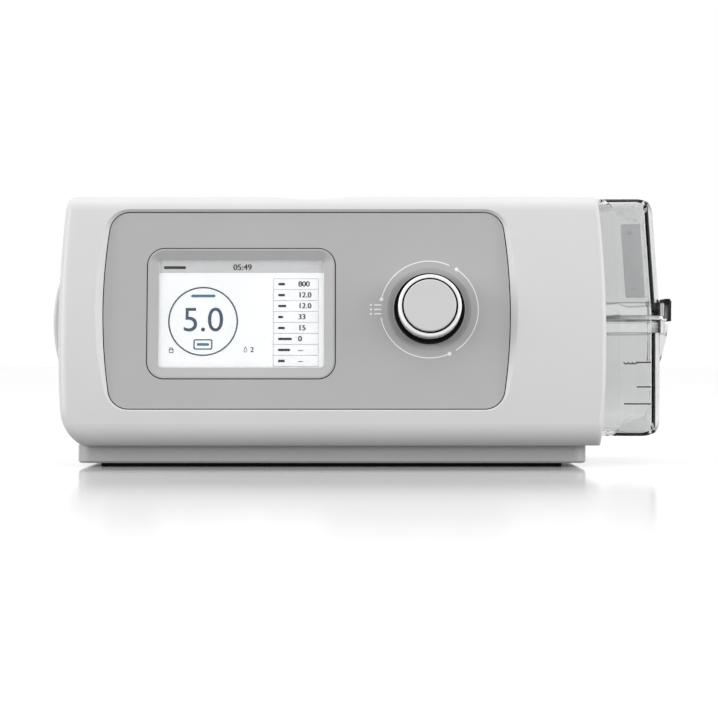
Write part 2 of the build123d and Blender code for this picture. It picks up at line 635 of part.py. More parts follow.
with BuildPart() as blower_mounts:
    for sx in (-1, 1):
        for sy in (-1, 1):
            x, y = BLOWER_X + MOUNT_STEP * sx, BLOWER_Y + MOUNT_STEP * sy
            bar((x, y, 32), (x, y, 44), 5)
            bar((x, y, 36.5), (x, y, 39.5), 6)

with BuildPart() as impeller:
    bar((BLOWER_X, BLOWER_Y, 48.2), (BLOWER_X, BLOWER_Y, 49.6), WHEEL_R)
    bar((BLOWER_X, BLOWER_Y, 49.4), (BLOWER_X, BLOWER_Y, 58), 5)
    with BuildSketch(Plane.XY.offset(49.4)):
        with Locations((BLOWER_X, BLOWER_Y)):
            with PolarLocations(15, 9):
                Rectangle(16, 1.4, rotation=32)
    extrude(amount=7.6)
    bar((BLOWER_X, BLOWER_Y, 40), (BLOWER_X, BLOWER_Y, 60), 1.5, mode=Mode.SUBTRACT)

with BuildPart() as blower_shaft:
    bar((BLOWER_X, BLOWER_Y, 22.6), (BLOWER_X, BLOWER_Y, 56.5), 1.5)
    bar((BLOWER_X, BLOWER_Y, 29), (BLOWER_X, BLOWER_Y, 40), 8.0)

with BuildPart() as motor_bearings:
    pipe((BLOWER_X, BLOWER_Y, 22.1), (BLOWER_X, BLOWER_Y, 24.9), 3.5, 1.55)
    pipe((BLOWER_X, BLOWER_Y, 42.4), (BLOWER_X, BLOWER_Y, 45.4), 3.5, 1.55)

with BuildPart() as motor_stator:
    pipe((BLOWER_X, BLOWER_Y, 27), (BLOWER_X, BLOWER_Y, 42), 17, 14)
    with BuildSketch(Plane.XY.offset(30)):
        with Locations((BLOWER_X, BLOWER_Y)):
            with PolarLocations(11.8, 9):
                Rectangle(5.4, 3.2)
    extrude(amount=9)

# ================================================================ air path to the tank and back
with BuildPart() as air_duct:
    pipe((-9.8, PORT_IN_Y, PORT_Z), (14.4, PORT_IN_Y, PORT_Z), 8.4, PORT_BORE_R)
    pipe((12.4, PORT_IN_Y, PORT_Z), (14.4, PORT_IN_Y, PORT_Z), 12.5, PORT_BORE_R)

with BuildPart() as flow_sensor:
    block((-7, PORT_IN_Y - 7, PORT_Z), (8, PORT_IN_Y + 7, PORT_Z + 13))
    bar((-8, PORT_IN_Y, PORT_Z), (9, PORT_IN_Y, PORT_Z), 8.45, mode=Mode.SUBTRACT)
    for x in (-4, 4):
        bar((x, PORT_IN_Y, PORT_Z + 13), (x, PORT_IN_Y, PORT_Z + 15.4), 1.38)

with BuildPart() as outlet_duct:
    with BuildLine() as duct_path:
        first = Line((14.4, PORT_OUT_Y, PORT_Z), (9.0, PORT_OUT_Y, PORT_Z))
        turn = Line((-2, 53.0, PORT_Z), (-2, REAR_Y - WALL - 0.2, PORT_Z))
        RadiusArc(first @ 1, turn @ 0, 11)
    with BuildSketch(Plane(origin=duct_path.line @ 0, z_dir=(-1, 0, 0))):
        Circle(9)
        Circle(7.2, mode=Mode.SUBTRACT)
    sweep()
    pipe((12.4, PORT_OUT_Y, PORT_Z), (14.4, PORT_OUT_Y, PORT_Z), 12.5, 7.2)

with BuildPart() as dock_seals:
    for y in (PORT_IN_Y, PORT_OUT_Y):
        pipe((14.6, y, PORT_Z), (BAY_X + 0.4, y, PORT_Z), DOCK_HOLE_R, PORT_TUBE_R + 0.3)
        pipe((14.6, y, PORT_Z), (BAY_X - WALL - 0.05, y, PORT_Z), 13, PORT_TUBE_R + 0.3)

with BuildPart() as hose_outlet:
    pipe((-2, REAR_Y - WALL + 0.05, PORT_Z), (-2, REAR_Y + 20.6, PORT_Z), 11, 8.6)
    pipe((-2, REAR_Y, PORT_Z), (-2, REAR_Y + 1.6, PORT_Z), 14, 11)
    rim = hose_outlet.edges().filter_by(GeomType.CIRCLE).group_by(Axis.Y)[-1]
    chamfer(rim.sort_by(SortBy.RADIUS)[-1], 1.2)

# ================================================================ back panel and its sockets
DC_X, DC_Z, DC_R = -104.0, 36.0, 5.5
DATA_X, DATA_Z = -72.0, 34.0
FLAP_Y, FLAP_Z, FLAP_PIN_R = REAR_Y + 1.1, DATA_Z + 6.6, 0.6
CARD_X, CARD_Z = -40.0, 30.0

with BuildPart() as rear_panel:
    x_low, z_low = REAR_PANEL_LOW
    x_high, z_high = REAR_PANEL_HIGH
    block((x_low, REAR_Y - WALL, z_low), (x_high, REAR_Y, z_high))
    fillet(rear_panel.edges().filter_by(Axis.Y), 1.5)
    bar((-2, 50, PORT_Z), (-2, FAR, PORT_Z), 11.02, mode=Mode.SUBTRACT)
    bar((DC_X, 50, DC_Z), (DC_X, FAR, DC_Z), 8.0, mode=Mode.SUBTRACT)
    block((DATA_X - 8, 50, DATA_Z - 5), (DATA_X + 8, FAR, DATA_Z + 5), mode=Mode.SUBTRACT)
    block((CARD_X - 13, 50, CARD_Z - 1.6), (CARD_X + 13, FAR, CARD_Z + 1.6), mode=Mode.SUBTRACT)
    for x in (DATA_X - 11.4, DATA_X + 9.4):
        block((x, REAR_Y - 0.5, FLAP_Z - 1.2), (x + 2, REAR_Y + 2.4, FLAP_Z + 1.2))
        bar((x - 1, FLAP_Y, FLAP_Z), (x + 3, FLAP_Y, FLAP_Z), FLAP_PIN_R + 0.05, mode=Mode.SUBTRACT)
    for x, z in SCREW_SPOTS:
        bar((x, 50, z), (x, FAR, z), 1.6, mode=Mode.SUBTRACT)
        bar((x, REAR_Y - 1.2, z), (x, FAR, z), 3.0, mode=Mode.SUBTRACT)
    with BuildSketch(Plane.XZ.offset(-50)):
        with Locations((-90, 97)):
            with GridLocations(6, 0, 9, 1):
                SlotOverall(16, 2.4, rotation=90)
    extrude(amount=-40, mode=Mode.SUBTRACT)

with BuildPart() as panel_screws:
    for x, z in SCREW_SPOTS:
        bar((x, REAR_Y - 1.2, z), (x, REAR_Y - 0.1, z), 2.8)
        bar((x, REAR_Y - 7, z), (x, REAR_Y - 1.1, z), 1.5)
        block((x - 1.6, REAR_Y - 0.7, z - 0.3), (x + 1.6, REAR_Y + 1, z + 0.3), mode=Mode.SUBTRACT)
        block((x - 0.3, REAR_Y - 0.7, z - 1.6), (x + 0.3, REAR_Y + 1, z + 1.6), mode=Mode.SUBTRACT)

with BuildPart() as dc_inlet:
    bar((DC_X, REAR_Y - 14, DC_Z), (DC_X, REAR_Y + 0.6, DC_Z), 7.9)
    bar((DC_X, REAR_Y - 3.4, DC_Z), (DC_X, REAR_Y + 2, DC_Z), DC_R, mode=Mode.SUBTRACT)
    bar((DC_X, REAR_Y - 9, DC_Z), (DC_X, REAR_Y - 3, DC_Z), DC_R - 1.5, mode=Mode.SUBTRACT)
    bar((DC_X, REAR_Y - 9.5, DC_Z), (DC_X, REAR_Y - 4, DC_Z), 1.0)

with BuildPart() as data_port:
    block((DATA_X - 7.8, REAR_Y - 12, DATA_Z - 4.8), (DATA_X + 7.8, REAR_Y - 0.8, DATA_Z + 4.8))
    block((DATA_X - 6.2, REAR_Y - 8, DATA_Z - 3), (DATA_X + 6.2, REAR_Y + 1, DATA_Z + 3), mode=Mode.SUBTRACT)
    block((DATA_X - 4.6, REAR_Y - 8.5, DATA_Z - 0.8), (DATA_X + 4.6, REAR_Y - 3, DATA_Z + 0.8))

with BuildPart() as port_flap:
    block((DATA_X - 9, REAR_Y + 0.3, DATA_Z - 6.4), (DATA_X + 9, REAR_Y + 1.9, FLAP_Z))
    fillet(port_flap.edges().filter_by(Axis.Y).group_by(Axis.Z)[0], 2)
    bar((DATA_X - 9, FLAP_Y, FLAP_Z), (DATA_X + 9, FLAP_Y, FLAP_Z), 0.8)
    bar((DATA_X - 11.4, FLAP_Y, FLAP_Z), (DATA_X + 11.4, FLAP_Y, FLAP_Z), FLAP_PIN_R)
    block((DATA_X - 3, REAR_Y + 1.8, DATA_Z - 6.4), (DATA_X + 3, REAR_Y + 2.6, DATA_Z - 5.2))

with BuildPart() as memory_card:
    block((CARD_X - 12, REAR_Y - 24, CARD_Z - 1.1), (CARD_X + 12, REAR_Y + 0.6, CARD_Z + 1.1))

with BuildPart() as rating_plate:
    block((-72, REAR_Y, 58), (-24, REAR_Y + 0.3, 84))
    fillet(rating_plate.edges().filter_by(Axis.Y), 2)

# ================================================================ electronics
with BuildPart() as main_board:
    block((-113, BOARD_Y, 22), (5, BOARD_Y + BOARD_T, 103))
    for x, z in BOARD_POSTS:
        bar((x, BOARD_Y - 1, z), (x, BOARD_Y + 3, z), 1.3, mode=Mode.SUBTRACT)
    for x, z, w, h in [(-30, 30, 20, 6), (-84, 27, 26, 6), (-108, 72, 5, 14), (0, 60, 5, 18)]:
        block((x - w / 2, BOARD_Y + BOARD_T, z - h / 2), (x + w / 2, BOARD_Y + BOARD_T + 7, z + h / 2))

BOARD_BACK = BOARD_Y + BOARD_T

with BuildPart() as board_screws:
    for x, z in BOARD_POSTS:
        bar((x, BOARD_Y - 6, z), (x, BOARD_BACK, z), 1.2)
        bar((x, BOARD_BACK, z), (x, BOARD_BACK + 1.6, z), 2.5)

with BuildPart() as board_chips:
    for x, z, w, h in [(-70, 70, 14, 14), (-40, 84, 10, 10), (-92, 48, 9, 6), (-26, 44, 8, 12), (-70, 42, 6, 5)]:
        block((x - w / 2, BOARD_BACK, z - h / 2), (x + w / 2, BOARD_BACK + 1.6, z + h / 2))
    for x in (-100, -94, -88, -82):
        block((x - 1.5, BOARD_BACK, 88), (x + 1.5, BOARD_BACK + 1.2, 92))

with BuildPart() as capacitors:
    for x, z in [(-14, 98), (-4, 92), (-16, 84), (-54, 30)]:
        bar((x, BOARD_BACK, z), (x, BOARD_BACK + 12, z), 4.0)

with BuildPart() as coin_cell:
    bar((-98, BOARD_BACK + 1, 66), (-98, BOARD_BACK + 4.2, 66), 6)
    block((-100, BOARD_BACK, 59), (-96, BOARD_BACK + 1, 73))

with BuildPart() as buzzer:
    bar((-44, BOARD_BACK, 58), (-44, BOARD_BACK + 7, 58), 7)
    bar((-44, BOARD_BACK + 5, 58), (-44, BOARD_BACK + 8, 58), 1.5, mode=Mode.SUBTRACT)

with BuildPart() as ribbon_cable:
    with BuildSketch(Plane.YZ.offset(-68)):
        with BuildLine():
            Polyline((panel_y(48, 11.2), 48), (-57.5, 44), (-55.6, 34), (-52.3, 30))
            offset(amount=0.25)
        make_face()
    extrude(amount=22)

with BuildPart() as sensing_tube:
    with BuildLine() as tube_path:
        Spline(
            (4, PORT_IN_Y, PORT_Z + 14.6),
            (4, -14, PORT_Z + 22),
            (0, -34, 72),
            (-2.5, BOARD_BACK + 8.5, 66),
            tangents=[(0, 0, 1), (0, -1, 0)],
        )
    with BuildSketch(Plane(origin=tube_path.line @ 0, z_dir=(0, 0, 1))):
        Circle(2.3)
        Circle(1.42, mode=Mode.SUBTRACT)
    sweep()

# ================================================================ heater under the tank
with BuildPart() as heater_plate:
    block((34.0, -4.0, 9.2), (90.0, 49.0, 12.7))
    fillet(heater_plate.edges().filter_by(Axis.Z), 3)
    chamfer(heater_plate.edges().group_by(Axis.Z)[-1], 0.5)
    block((31.5, -6.5, 8.2), (92.5, 51.5, 9.4))

SPRING_SPOTS = [(35.5, -2.5), (88.5, -2.5), (35.5, 47.5), (88.5, 47.5)]

with BuildPart() as heater_springs:
    for x, y in SPRING_SPOTS:
        with BuildLine() as coil:
            Helix(pitch=1.13, height=3.0, radius=2.3, center=(x, y, BASE_FLOOR_Z + 0.3))
        with BuildSketch(Plane(origin=coil.line @ 0, z_dir=coil.line % 0)):
            Circle(0.28)
        sweep(is_frenet=True)


# ================================================================ humidifier tank
def tank_plan(left, grow, corner=5):
    """The tank's outline seen from above, from the plane x = left, `grow` mm outside its wall."""
    with BuildSketch() as plan:
        with BuildLine():
            bulge = ThreePointArc(
                (CAP_CORNER_X, CAP_FRONT), (CAP_BULGE_X, 10), (CAP_CORNER_X + 0.6, TANK_REAR)
            )
            Polyline(
                bulge @ 1,
                (left, TANK_REAR),
                (left, TANK_FRONT),
                (CAP_X - CAP_SIDE_RUN, TANK_FRONT),
                (CAP_X, CAP_FRONT),
                bulge @ 0,
            )
        make_face()
        if corner:
            fillet(vertices().group_by(Axis.X)[0], corner)
        fillet(vertices().group_by(Axis.Y)[0].sort_by(Axis.X)[0], 6)
        fillet(vertices().group_by(Axis.Y)[0].sort_by(Axis.X)[-1], 6)
        fillet(vertices().group_by(Axis.Y)[-1].sort_by(Axis.X)[-1], 9)
        if grow:
            offset(amount=grow)
    return plan.sketch


def tank_block(left, low, high, grow, low_r, high_r, lean=0.0):
    """A tank-shaped block between two heights, rounded along its lower and upper outer edges.

    `lean` is how far the window end moves in x for each mm above the lid's lower face.
    """
    with BuildPart() as shape:
        shift = lean * (low - LID_LOW_Z)
        with BuildSketch(Plane.XY.offset(low)):
            with Locations((shift, 0)):
                add(tank_plan(60, grow, 0))
        extrude(amount=(high - low) * (1 + lean ** 2) ** 0.5, dir=(lean, 0, 1))
        with BuildSketch(Plane.XY.offset(low)):
            with Locations(((left - grow + 80) / 2, (TANK_FRONT + TANK_REAR) / 2)):
                Rectangle(80 - left + grow, TANK_REAR - TANK_FRONT + 2 * grow)
            fillet(vertices().group_by(Axis.X)[0], 5 + grow)
        extrude(amount=high - low)
        with BuildSketch(Plane.XZ):
            with BuildLine():
                Polyline(
                    (left - 9, low),
                    (CAP_BULGE_X + grow + lean * (low - LID_LOW_Z), low),
                    (CAP_BULGE_X + grow + lean * (high - LID_LOW_Z), high),
                    (left - 9, high),
                    close=True,
                )
            make_face()
            right = vertices().sort_by(Axis.X)[-2:].sort_by(Axis.Y)
            if low_r:
                fillet(right[0], low_r)
            if high_r:
                fillet(vertices().sort_by(Axis.Y)[-2:].sort_by(Axis.X)[-1], high_r)
        extrude(amount=FAR, both=True, mode=Mode.INTERSECT)
        with BuildSketch(Plane.YZ):
            with BuildLine():
                Polyline(
                    (CAP_FRONT - grow, low),
                    (TANK_REAR + grow, low),
                    (TANK_REAR + grow, high),
                    (CAP_FRONT - grow, high),
                    close=True,
                )
            make_face()
            if low_r:
                fillet(vertices().group_by(Axis.Y)[0], low_r * 0.7)
            if high_r:
                fillet(vertices().group_by(Axis.Y)[-1], high_r * 0.8)
        extrude(amount=FAR, both=True, mode=Mode.INTERSECT)
    return shape.part


with BuildPart() as tank_tub:
    add(tank_block(TANK_LEFT, TANK_LOW_Z, TUB_TOP_Z, 0, 13, 0))
    with BuildSketch(Plane.XY.offset(TUB_TOP_Z - FLANGE_H)):
        add(tank_plan(TANK_LEFT, FLANGE_OUT))
    extrude(amount=FLANGE_H)
    # grip bulge under the latch, with a sloped keeper on its outer face
    with BuildSketch(Plane.XZ.offset(-LATCH_Y - LATCH_HALF)):
        with BuildLine():
            Polyline(
                (134, TUB_TOP_Z),
                (140.2, TUB_TOP_Z),
                (140.2, TUB_TOP_Z + 1.1),
                (143.0, TUB_TOP_Z + 1.1),
                (142.2, 66.0),
                (143.6, 65.4),
                (142.2, 57),
                (139.6, 47.5),
                (134, 44.5),
                close=True,
            )
        make_face()
    extrude(amount=2 * LATCH_HALF)
    add(tank_block(DECK_X, TANK_LOW_Z + TANK_WALL, TUB_TOP_Z + 5, -TANK_WALL, 11, 0), mode=Mode.SUBTRACT)
    block(
        (TANK_LEFT + TANK_WALL, TANK_FRONT + TANK_WALL, 15.4),
        (60, TANK_REAR - TANK_WALL, TUB_TOP_Z - TANK_WALL),
        mode=Mode.SUBTRACT,
    )
    # ears and web that carry the lid's hinge
    block((TANK_LEFT, -6, TUB_TOP_Z - 1), (TANK_LEFT + 2.4, 36, 108))
    for y in (-6, 29.4):
        block((TANK_LEFT, y, TUB_TOP_Z - 1), (HINGE_X + 3.2, y + 6.6, HINGE_Z))
        bar((HINGE_X, y, HINGE_Z), (HINGE_X, y + 6.6, HINGE_Z), 3.8)
        bar((HINGE_X, y - 1, HINGE_Z), (HINGE_X, y + 7.6, HINGE_Z), HINGE_PIN_R, mode=Mode.SUBTRACT)
    # air tubes that reach into the dock
    for y in (PORT_IN_Y, PORT_OUT_Y):
        bar((15.2, y, PORT_Z), (TANK_LEFT + 12, y, PORT_Z), PORT_TUBE_R)
        bar((10, y, PORT_Z), (TANK_LEFT + 13, y, PORT_Z), PORT_BORE_R, mode=Mode.SUBTRACT)
    # window for the metal base plate
    block((38, 0, 10), (86, 45, 17), mode=Mode.SUBTRACT)
    block((33.8, -4.2, 10), (90.2, 49.2, TANK_LOW_Z + 1.2), mode=Mode.SUBTRACT)

with BuildPart() as tank_base_plate:
    block((34, -4, TANK_LOW_Z), (90, 49, TANK_LOW_Z + 1.2))
    fillet(tank_base_plate.edges().filter_by(Axis.Z), 2)
    block((38.2, 0.2, TANK_LOW_Z + 1.1), (85.8, 44.8, TANK_LOW_Z + TANK_WALL))

with BuildPart() as tank_gasket:
    with BuildSketch(Plane.XY.offset(TUB_TOP_Z + 0.3)):
        add(tank_plan(LID_LEFT, -0.2))
        add(tank_plan(LID_LEFT, -3.0), mode=Mode.SUBTRACT)
    extrude(amount=LID_LOW_Z - TUB_TOP_Z - 0.3)

lid_space = tank_block(LID_LEFT, LID_LOW_Z - 5, LID_TOP_Z - TANK_WALL, -TANK_WALL, 0, 11, LID_LEAN)
LUG_SPOTS = [LATCH_Y - 6.6, LATCH_Y + 3.0]
LUG_W = 3.6

with BuildPart() as tank_lid:
    add(tank_block(LID_LEFT, LID_LOW_Z, LID_TOP_Z, 0, 0, 13, LID_LEAN))
    with BuildSketch(Plane.XY.offset(LID_LOW_Z)):
        add(tank_plan(LID_LEFT, 0))
        add(tank_plan(LID_LEFT, FLANGE_OUT))
        with Locations((LID_LEFT - 5, 0)):
            Rectangle(10, 200, mode=Mode.SUBTRACT)
    extrude(amount=FLANGE_H)
    add(lid_space, mode=Mode.SUBTRACT)
    # hinge knuckle
    block((HINGE_X, 1.2, HINGE_Z - 3.8), (LID_LEFT + 1.5, 28.8, HINGE_Z + 3.8))
    bar((HINGE_X, 1.2, HINGE_Z), (HINGE_X, 28.8, HINGE_Z), 3.8)
    bar((HINGE_X, 0, HINGE_Z), (HINGE_X, 30, HINGE_Z), HINGE_PIN_R + 0.05, mode=Mode.SUBTRACT)
    # lugs for the latch
    for y in LUG_SPOTS:
        block((137, y, LATCH_PIN_Z - LUG_R), (LATCH_PIN_X, y + LUG_W, LATCH_PIN_Z + LUG_R))
        bar((LATCH_PIN_X, y, LATCH_PIN_Z), (LATCH_PIN_X, y + LUG_W, LATCH_PIN_Z), LUG_R)
        bar(
            (LATCH_PIN_X, y - 1, LATCH_PIN_Z),
            (LATCH_PIN_X, y + LUG_W + 1, LATCH_PIN_Z),
            LATCH_PIN_R + 0.05,
            mode=Mode.SUBTRACT,
        )

BAFFLE_Y, BAFFLE_T, BAFFLE_LOW_Z, BAFFLE_TOP_Z = -39.0, 1.0, 77.0, 111.0
BAFFLE_LEFT_X, BAFFLE_RIGHT_X, BAFFLE_PEG_X = 119.2, 128.0, 123.0

with BuildPart() as lid_baffle:
    with BuildSketch(Plane.XZ.offset(-BAFFLE_Y)):
        with BuildLine():
            rise = BAFFLE_TOP_Z - BAFFLE_LOW_Z
            Polyline(
                (BAFFLE_LEFT_X, BAFFLE_LOW_Z),
                (BAFFLE_RIGHT_X, BAFFLE_LOW_Z),
                (BAFFLE_RIGHT_X + LID_LEAN * rise, BAFFLE_TOP_Z),
                (BAFFLE_LEFT_X + LID_LEAN * rise, BAFFLE_TOP_Z),
                close=True,
            )
        make_face()
        fillet(vertices(), 0.8)
    extrude(amount=-BAFFLE_T)
    # pegs that hold it off the lid's front wall
    for z in (BAFFLE_LOW_Z + 4, BAFFLE_TOP_Z - 4):
        peg_x = BAFFLE_PEG_X + LID_LEAN * (z - BAFFLE_LOW_Z)
        bar((peg_x, CAP_FRONT + TANK_WALL, z), (peg_x, BAFFLE_Y + 0.2, z), 0.9)

with BuildPart() as hinge_pin:
    bar((HINGE_X, -6, HINGE_Z), (HINGE_X, 36, HINGE_Z), HINGE_PIN_R)

ARM_SPOTS = [LATCH_Y - 10.6, LATCH_Y + 7.0]

with BuildPart() as tank_latch:
    with BuildSketch(Plane.XZ.offset(-LATCH_Y - LATCH_HALF)):
        with BuildLine():
            Polyline(
                (143.8, 68.4),
                (142.95, 66.8),
                (144.9, 66.8),
                (145.0, 76.3),
                (144.2, 77.5),
                (142.0, 77.5),
                (142.0, 76.95),
                (143.8, 76.95),
                close=True,
            )
        make_face()
    extrude(amount=2 * LATCH_HALF)
    for y in LUG_SPOTS:
        block((140, y - 0.5, 72), (143.9, y + LUG_W + 0.5, 80), mode=Mode.SUBTRACT)
    for y in ARM_SPOTS:
        bar((LATCH_PIN_X, y, LATCH_PIN_Z), (LATCH_PIN_X, y + 3.6, LATCH_PIN_Z), LUG_R)
        block((LATCH_PIN_X, y, LATCH_PIN_Z - LUG_R), (144, y + 3.6, LATCH_PIN_Z + 1.3))
    bar((LATCH_PIN_X, ARM_SPOTS[0], LATCH_PIN_Z), (LATCH_PIN_X, ARM_SPOTS[1] + 3.6, LATCH_PIN_Z), LATCH_PIN_R)

MARK_RIGHT_X, MARK_T = 130.5, 0.12

with BuildPart() as level_marks:
    for z, length in [(47.2, 7.0), (35.9, 6.5), (28.1, 12.5)]:
        block((MARK_RIGHT_X - length, CAP_FRONT - MARK_T, z - 0.3), (MARK_RIGHT_X, CAP_FRONT, z + 0.3))
    # small waves at the left end of the highest mark
    with BuildSketch(Plane.XZ.offset(-CAP_FRONT)):
        with BuildLine():
            start = (MARK_RIGHT_X - 12.5, 47.2)
            for wave in range(3):
                middle = (start[0] + 1.0, start[1] - 0.7)
                end = (start[0] + 2.0, start[1])
                ThreePointArc(start, middle, end)
                start = end
            offset(amount=0.28)
        make_face()
    extrude(amount=MARK_T)

# ================================================================ hand-over, one file per piece
os.makedirs("parts", exist_ok=True)
front_housing.part.label = "front_housing"
export_step(front_housing.part, "parts/front_housing.step")
rear_housing.part.label = "rear_housing"
export_step(rear_housing.part, "parts/rear_housing.step")
base_tray.part.label = "base_tray"
export_step(base_tray.part, "parts/base_tray.step")
feet.part.label = "feet"
export_step(feet.part, "parts/feet.step")
base_screws.part.label = "base_screws"
export_step(base_screws.part, "parts/base_screws.step")
control_panel.part.label = "control_panel"
export_step(control_panel.part, "parts/control_panel.step")
dial_marks.part.label = "dial_marks"
export_step(dial_marks.part, "parts/dial_marks.step")
display_bezel.part.label = "display_bezel"
export_step(display_bezel.part, "parts/display_bezel.step")
display_lens.part.label = "display_lens"
export_step(display_lens.part, "parts/display_lens.step")
display_module.part.label = "display_module"
export_step(display_module.part, "parts/display_module.step")
display_board.part.label = "display_board"
export_step(display_board.part, "parts/display_board.step")
encoder_body.part.label = "encoder_body"
export_step(encoder_body.part, "parts/encoder_body.step")
encoder_plunger.part.label = "encoder_plunger"
export_step(encoder_plunger.part, "parts/encoder_plunger.step")
encoder_shaft.part.label = "encoder_shaft"
export_step(encoder_shaft.part, "parts/encoder_shaft.step")
knob_body.part.label = "knob_body"
export_step(knob_body.part, "parts/knob_body.step")
knob_ring.part.label = "knob_ring"
export_step(knob_ring.part, "parts/knob_ring.step")
knob_cap.part.label = "knob_cap"
export_step(knob_cap.part, "parts/knob_cap.step")
start_button.part.label = "start_button"
export_step(start_button.part, "parts/start_button.step")
start_switch.part.label = "start_switch"
export_step(start_switch.part, "parts/start_switch.step")
filter_cover.part.label = "filter_cover"
export_step(filter_cover.part, "parts/filter_cover.step")
inlet_filter.part.label = "inlet_filter"
export_step(inlet_filter.part, "parts/inlet_filter.step")
inlet_muffler.part.label = "inlet_muffler"
export_step(inlet_muffler.part, "parts/inlet_muffler.step")
muffler_foam.part.label = "muffler_foam"
export_step(muffler_foam.part, "parts/muffler_foam.step")
blower_base.part.label = "blower_base"
export_step(blower_base.part, "parts/blower_base.step")
blower_lid.part.label = "blower_lid"
export_step(blower_lid.part, "parts/blower_lid.step")
blower_mounts.part.label = "blower_mounts"
export_step(blower_mounts.part, "parts/blower_mounts.step")
impeller.part.label = "impeller"
export_step(impeller.part, "parts/impeller.step")
blower_shaft.part.label = "blower_shaft"
export_step(blower_shaft.part, "parts/blower_shaft.step")
motor_bearings.part.label = "motor_bearings"
export_step(motor_bearings.part, "parts/motor_bearings.step")
motor_stator.part.label = "motor_stator"
export_step(motor_stator.part, "parts/motor_stator.step")
air_duct.part.label = "air_duct"
export_step(air_duct.part, "parts/air_duct.step")
flow_sensor.part.label = "flow_sensor"
export_step(flow_sensor.part, "parts/flow_sensor.step")
outlet_duct.part.label = "outlet_duct"
export_step(outlet_duct.part, "parts/outlet_duct.step")
dock_seals.part.label = "dock_seals"
export_step(dock_seals.part, "parts/dock_seals.step")
hose_outlet.part.label = "hose_outlet"
export_step(hose_outlet.part, "parts/hose_outlet.step")
rear_panel.part.label = "rear_panel"
export_step(rear_panel.part, "parts/rear_panel.step")
panel_screws.part.label = "panel_screws"
export_step(panel_screws.part, "parts/panel_screws.step")
dc_inlet.part.label = "dc_inlet"
export_step(dc_inlet.part, "parts/dc_inlet.step")
data_port.part.label = "data_port"
export_step(data_port.part, "parts/data_port.step")
port_flap.part.label = "port_flap"
export_step(port_flap.part, "parts/port_flap.step")
memory_card.part.label = "memory_card"
export_step(memory_card.part, "parts/memory_card.step")
rating_plate.part.label = "rating_plate"
export_step(rating_plate.part, "parts/rating_plate.step")
main_board.part.label = "main_board"
export_step(main_board.part, "parts/main_board.step")
board_screws.part.label = "board_screws"
export_step(board_screws.part, "parts/board_screws.step")
board_chips.part.label = "board_chips"
export_step(board_chips.part, "parts/board_chips.step")
capacitors.part.label = "capacitors"
export_step(capacitors.part, "parts/capacitors.step")
coin_cell.part.label = "coin_cell"
export_step(coin_cell.part, "parts/coin_cell.step")
buzzer.part.label = "buzzer"
export_step(buzzer.part, "parts/buzzer.step")
ribbon_cable.part.label = "ribbon_cable"
export_step(ribbon_cable.part, "parts/ribbon_cable.step")
sensing_tube.part.label = "sensing_tube"
export_step(sensing_tube.part, "parts/sensing_tube.step")
heater_plate.part.label = "heater_plate"
export_step(heater_plate.part, "parts/heater_plate.step")
heater_springs.part.label = "heater_springs"
export_step(heater_springs.part, "parts/heater_springs.step")
tank_tub.part.label = "tank_tub"
export_step(tank_tub.part, "parts/tank_tub.step")
tank_base_plate.part.label = "tank_base_plate"
export_step(tank_base_plate.part, "parts/tank_base_plate.step")
tank_gasket.part.label = "tank_gasket"
export_step(tank_gasket.part, "parts/tank_gasket.step")
tank_lid.part.label = "tank_lid"
export_step(tank_lid.part, "parts/tank_lid.step")
lid_baffle.part.label = "lid_baffle"
export_step(lid_baffle.part, "parts/lid_baffle.step")
hinge_pin.part.label = "hinge_pin"
export_step(hinge_pin.part, "parts/hinge_pin.step")
tank_latch.part.label = "tank_latch"
export_step(tank_latch.part, "parts/tank_latch.step")
level_marks.part.label = "level_marks"
export_step(level_marks.part, "parts/level_marks.step")
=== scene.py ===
import math

import bmesh
import bpy
import json
from mathutils import Matrix, Vector


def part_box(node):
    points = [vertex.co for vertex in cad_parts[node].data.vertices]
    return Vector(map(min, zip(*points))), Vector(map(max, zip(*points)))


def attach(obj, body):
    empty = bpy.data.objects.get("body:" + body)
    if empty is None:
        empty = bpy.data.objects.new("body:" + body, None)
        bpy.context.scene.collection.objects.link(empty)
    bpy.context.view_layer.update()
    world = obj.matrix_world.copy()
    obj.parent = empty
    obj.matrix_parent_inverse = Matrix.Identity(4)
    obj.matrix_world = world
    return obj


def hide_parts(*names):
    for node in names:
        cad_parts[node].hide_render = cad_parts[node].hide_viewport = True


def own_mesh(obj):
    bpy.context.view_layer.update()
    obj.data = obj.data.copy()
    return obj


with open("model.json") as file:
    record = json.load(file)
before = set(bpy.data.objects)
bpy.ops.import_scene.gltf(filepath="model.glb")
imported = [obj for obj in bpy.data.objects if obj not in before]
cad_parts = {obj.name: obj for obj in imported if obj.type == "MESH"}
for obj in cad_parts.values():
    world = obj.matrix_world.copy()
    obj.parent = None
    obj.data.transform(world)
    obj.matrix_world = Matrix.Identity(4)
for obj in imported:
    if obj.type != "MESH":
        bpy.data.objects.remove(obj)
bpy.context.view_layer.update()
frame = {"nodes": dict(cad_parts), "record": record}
nodes = frame["nodes"]
MM = 0.001

# the control panel leans back by TILT: OUT is its way forwards, UP and RIGHT lie along its face
TILT = math.radians(7.5)
OUT = Vector((0, -math.cos(TILT), math.sin(TILT)))
UP = Vector((0, math.sin(TILT), math.cos(TILT)))
RIGHT = Vector((1, 0, 0))


def centre(node):
    """The middle of a CAD node's box."""
    low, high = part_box(node)
    return (Vector(low) + Vector(high)) / 2


# ------------------------------------------------------------------ camera
camera_data = bpy.data.cameras.new("camera")
camera_data.lens = 133.7
camera_data.sensor_width = 36
camera_data.clip_start = 0.05
camera_data.clip_end = 30
camera = bpy.data.objects.new("camera", camera_data)
camera.location = (-0.004, -1.27, 0.049)
camera.rotation_euler = (math.radians(90), 0, 0)
bpy.context.scene.collection.objects.link(camera)
bpy.context.scene.camera = camera


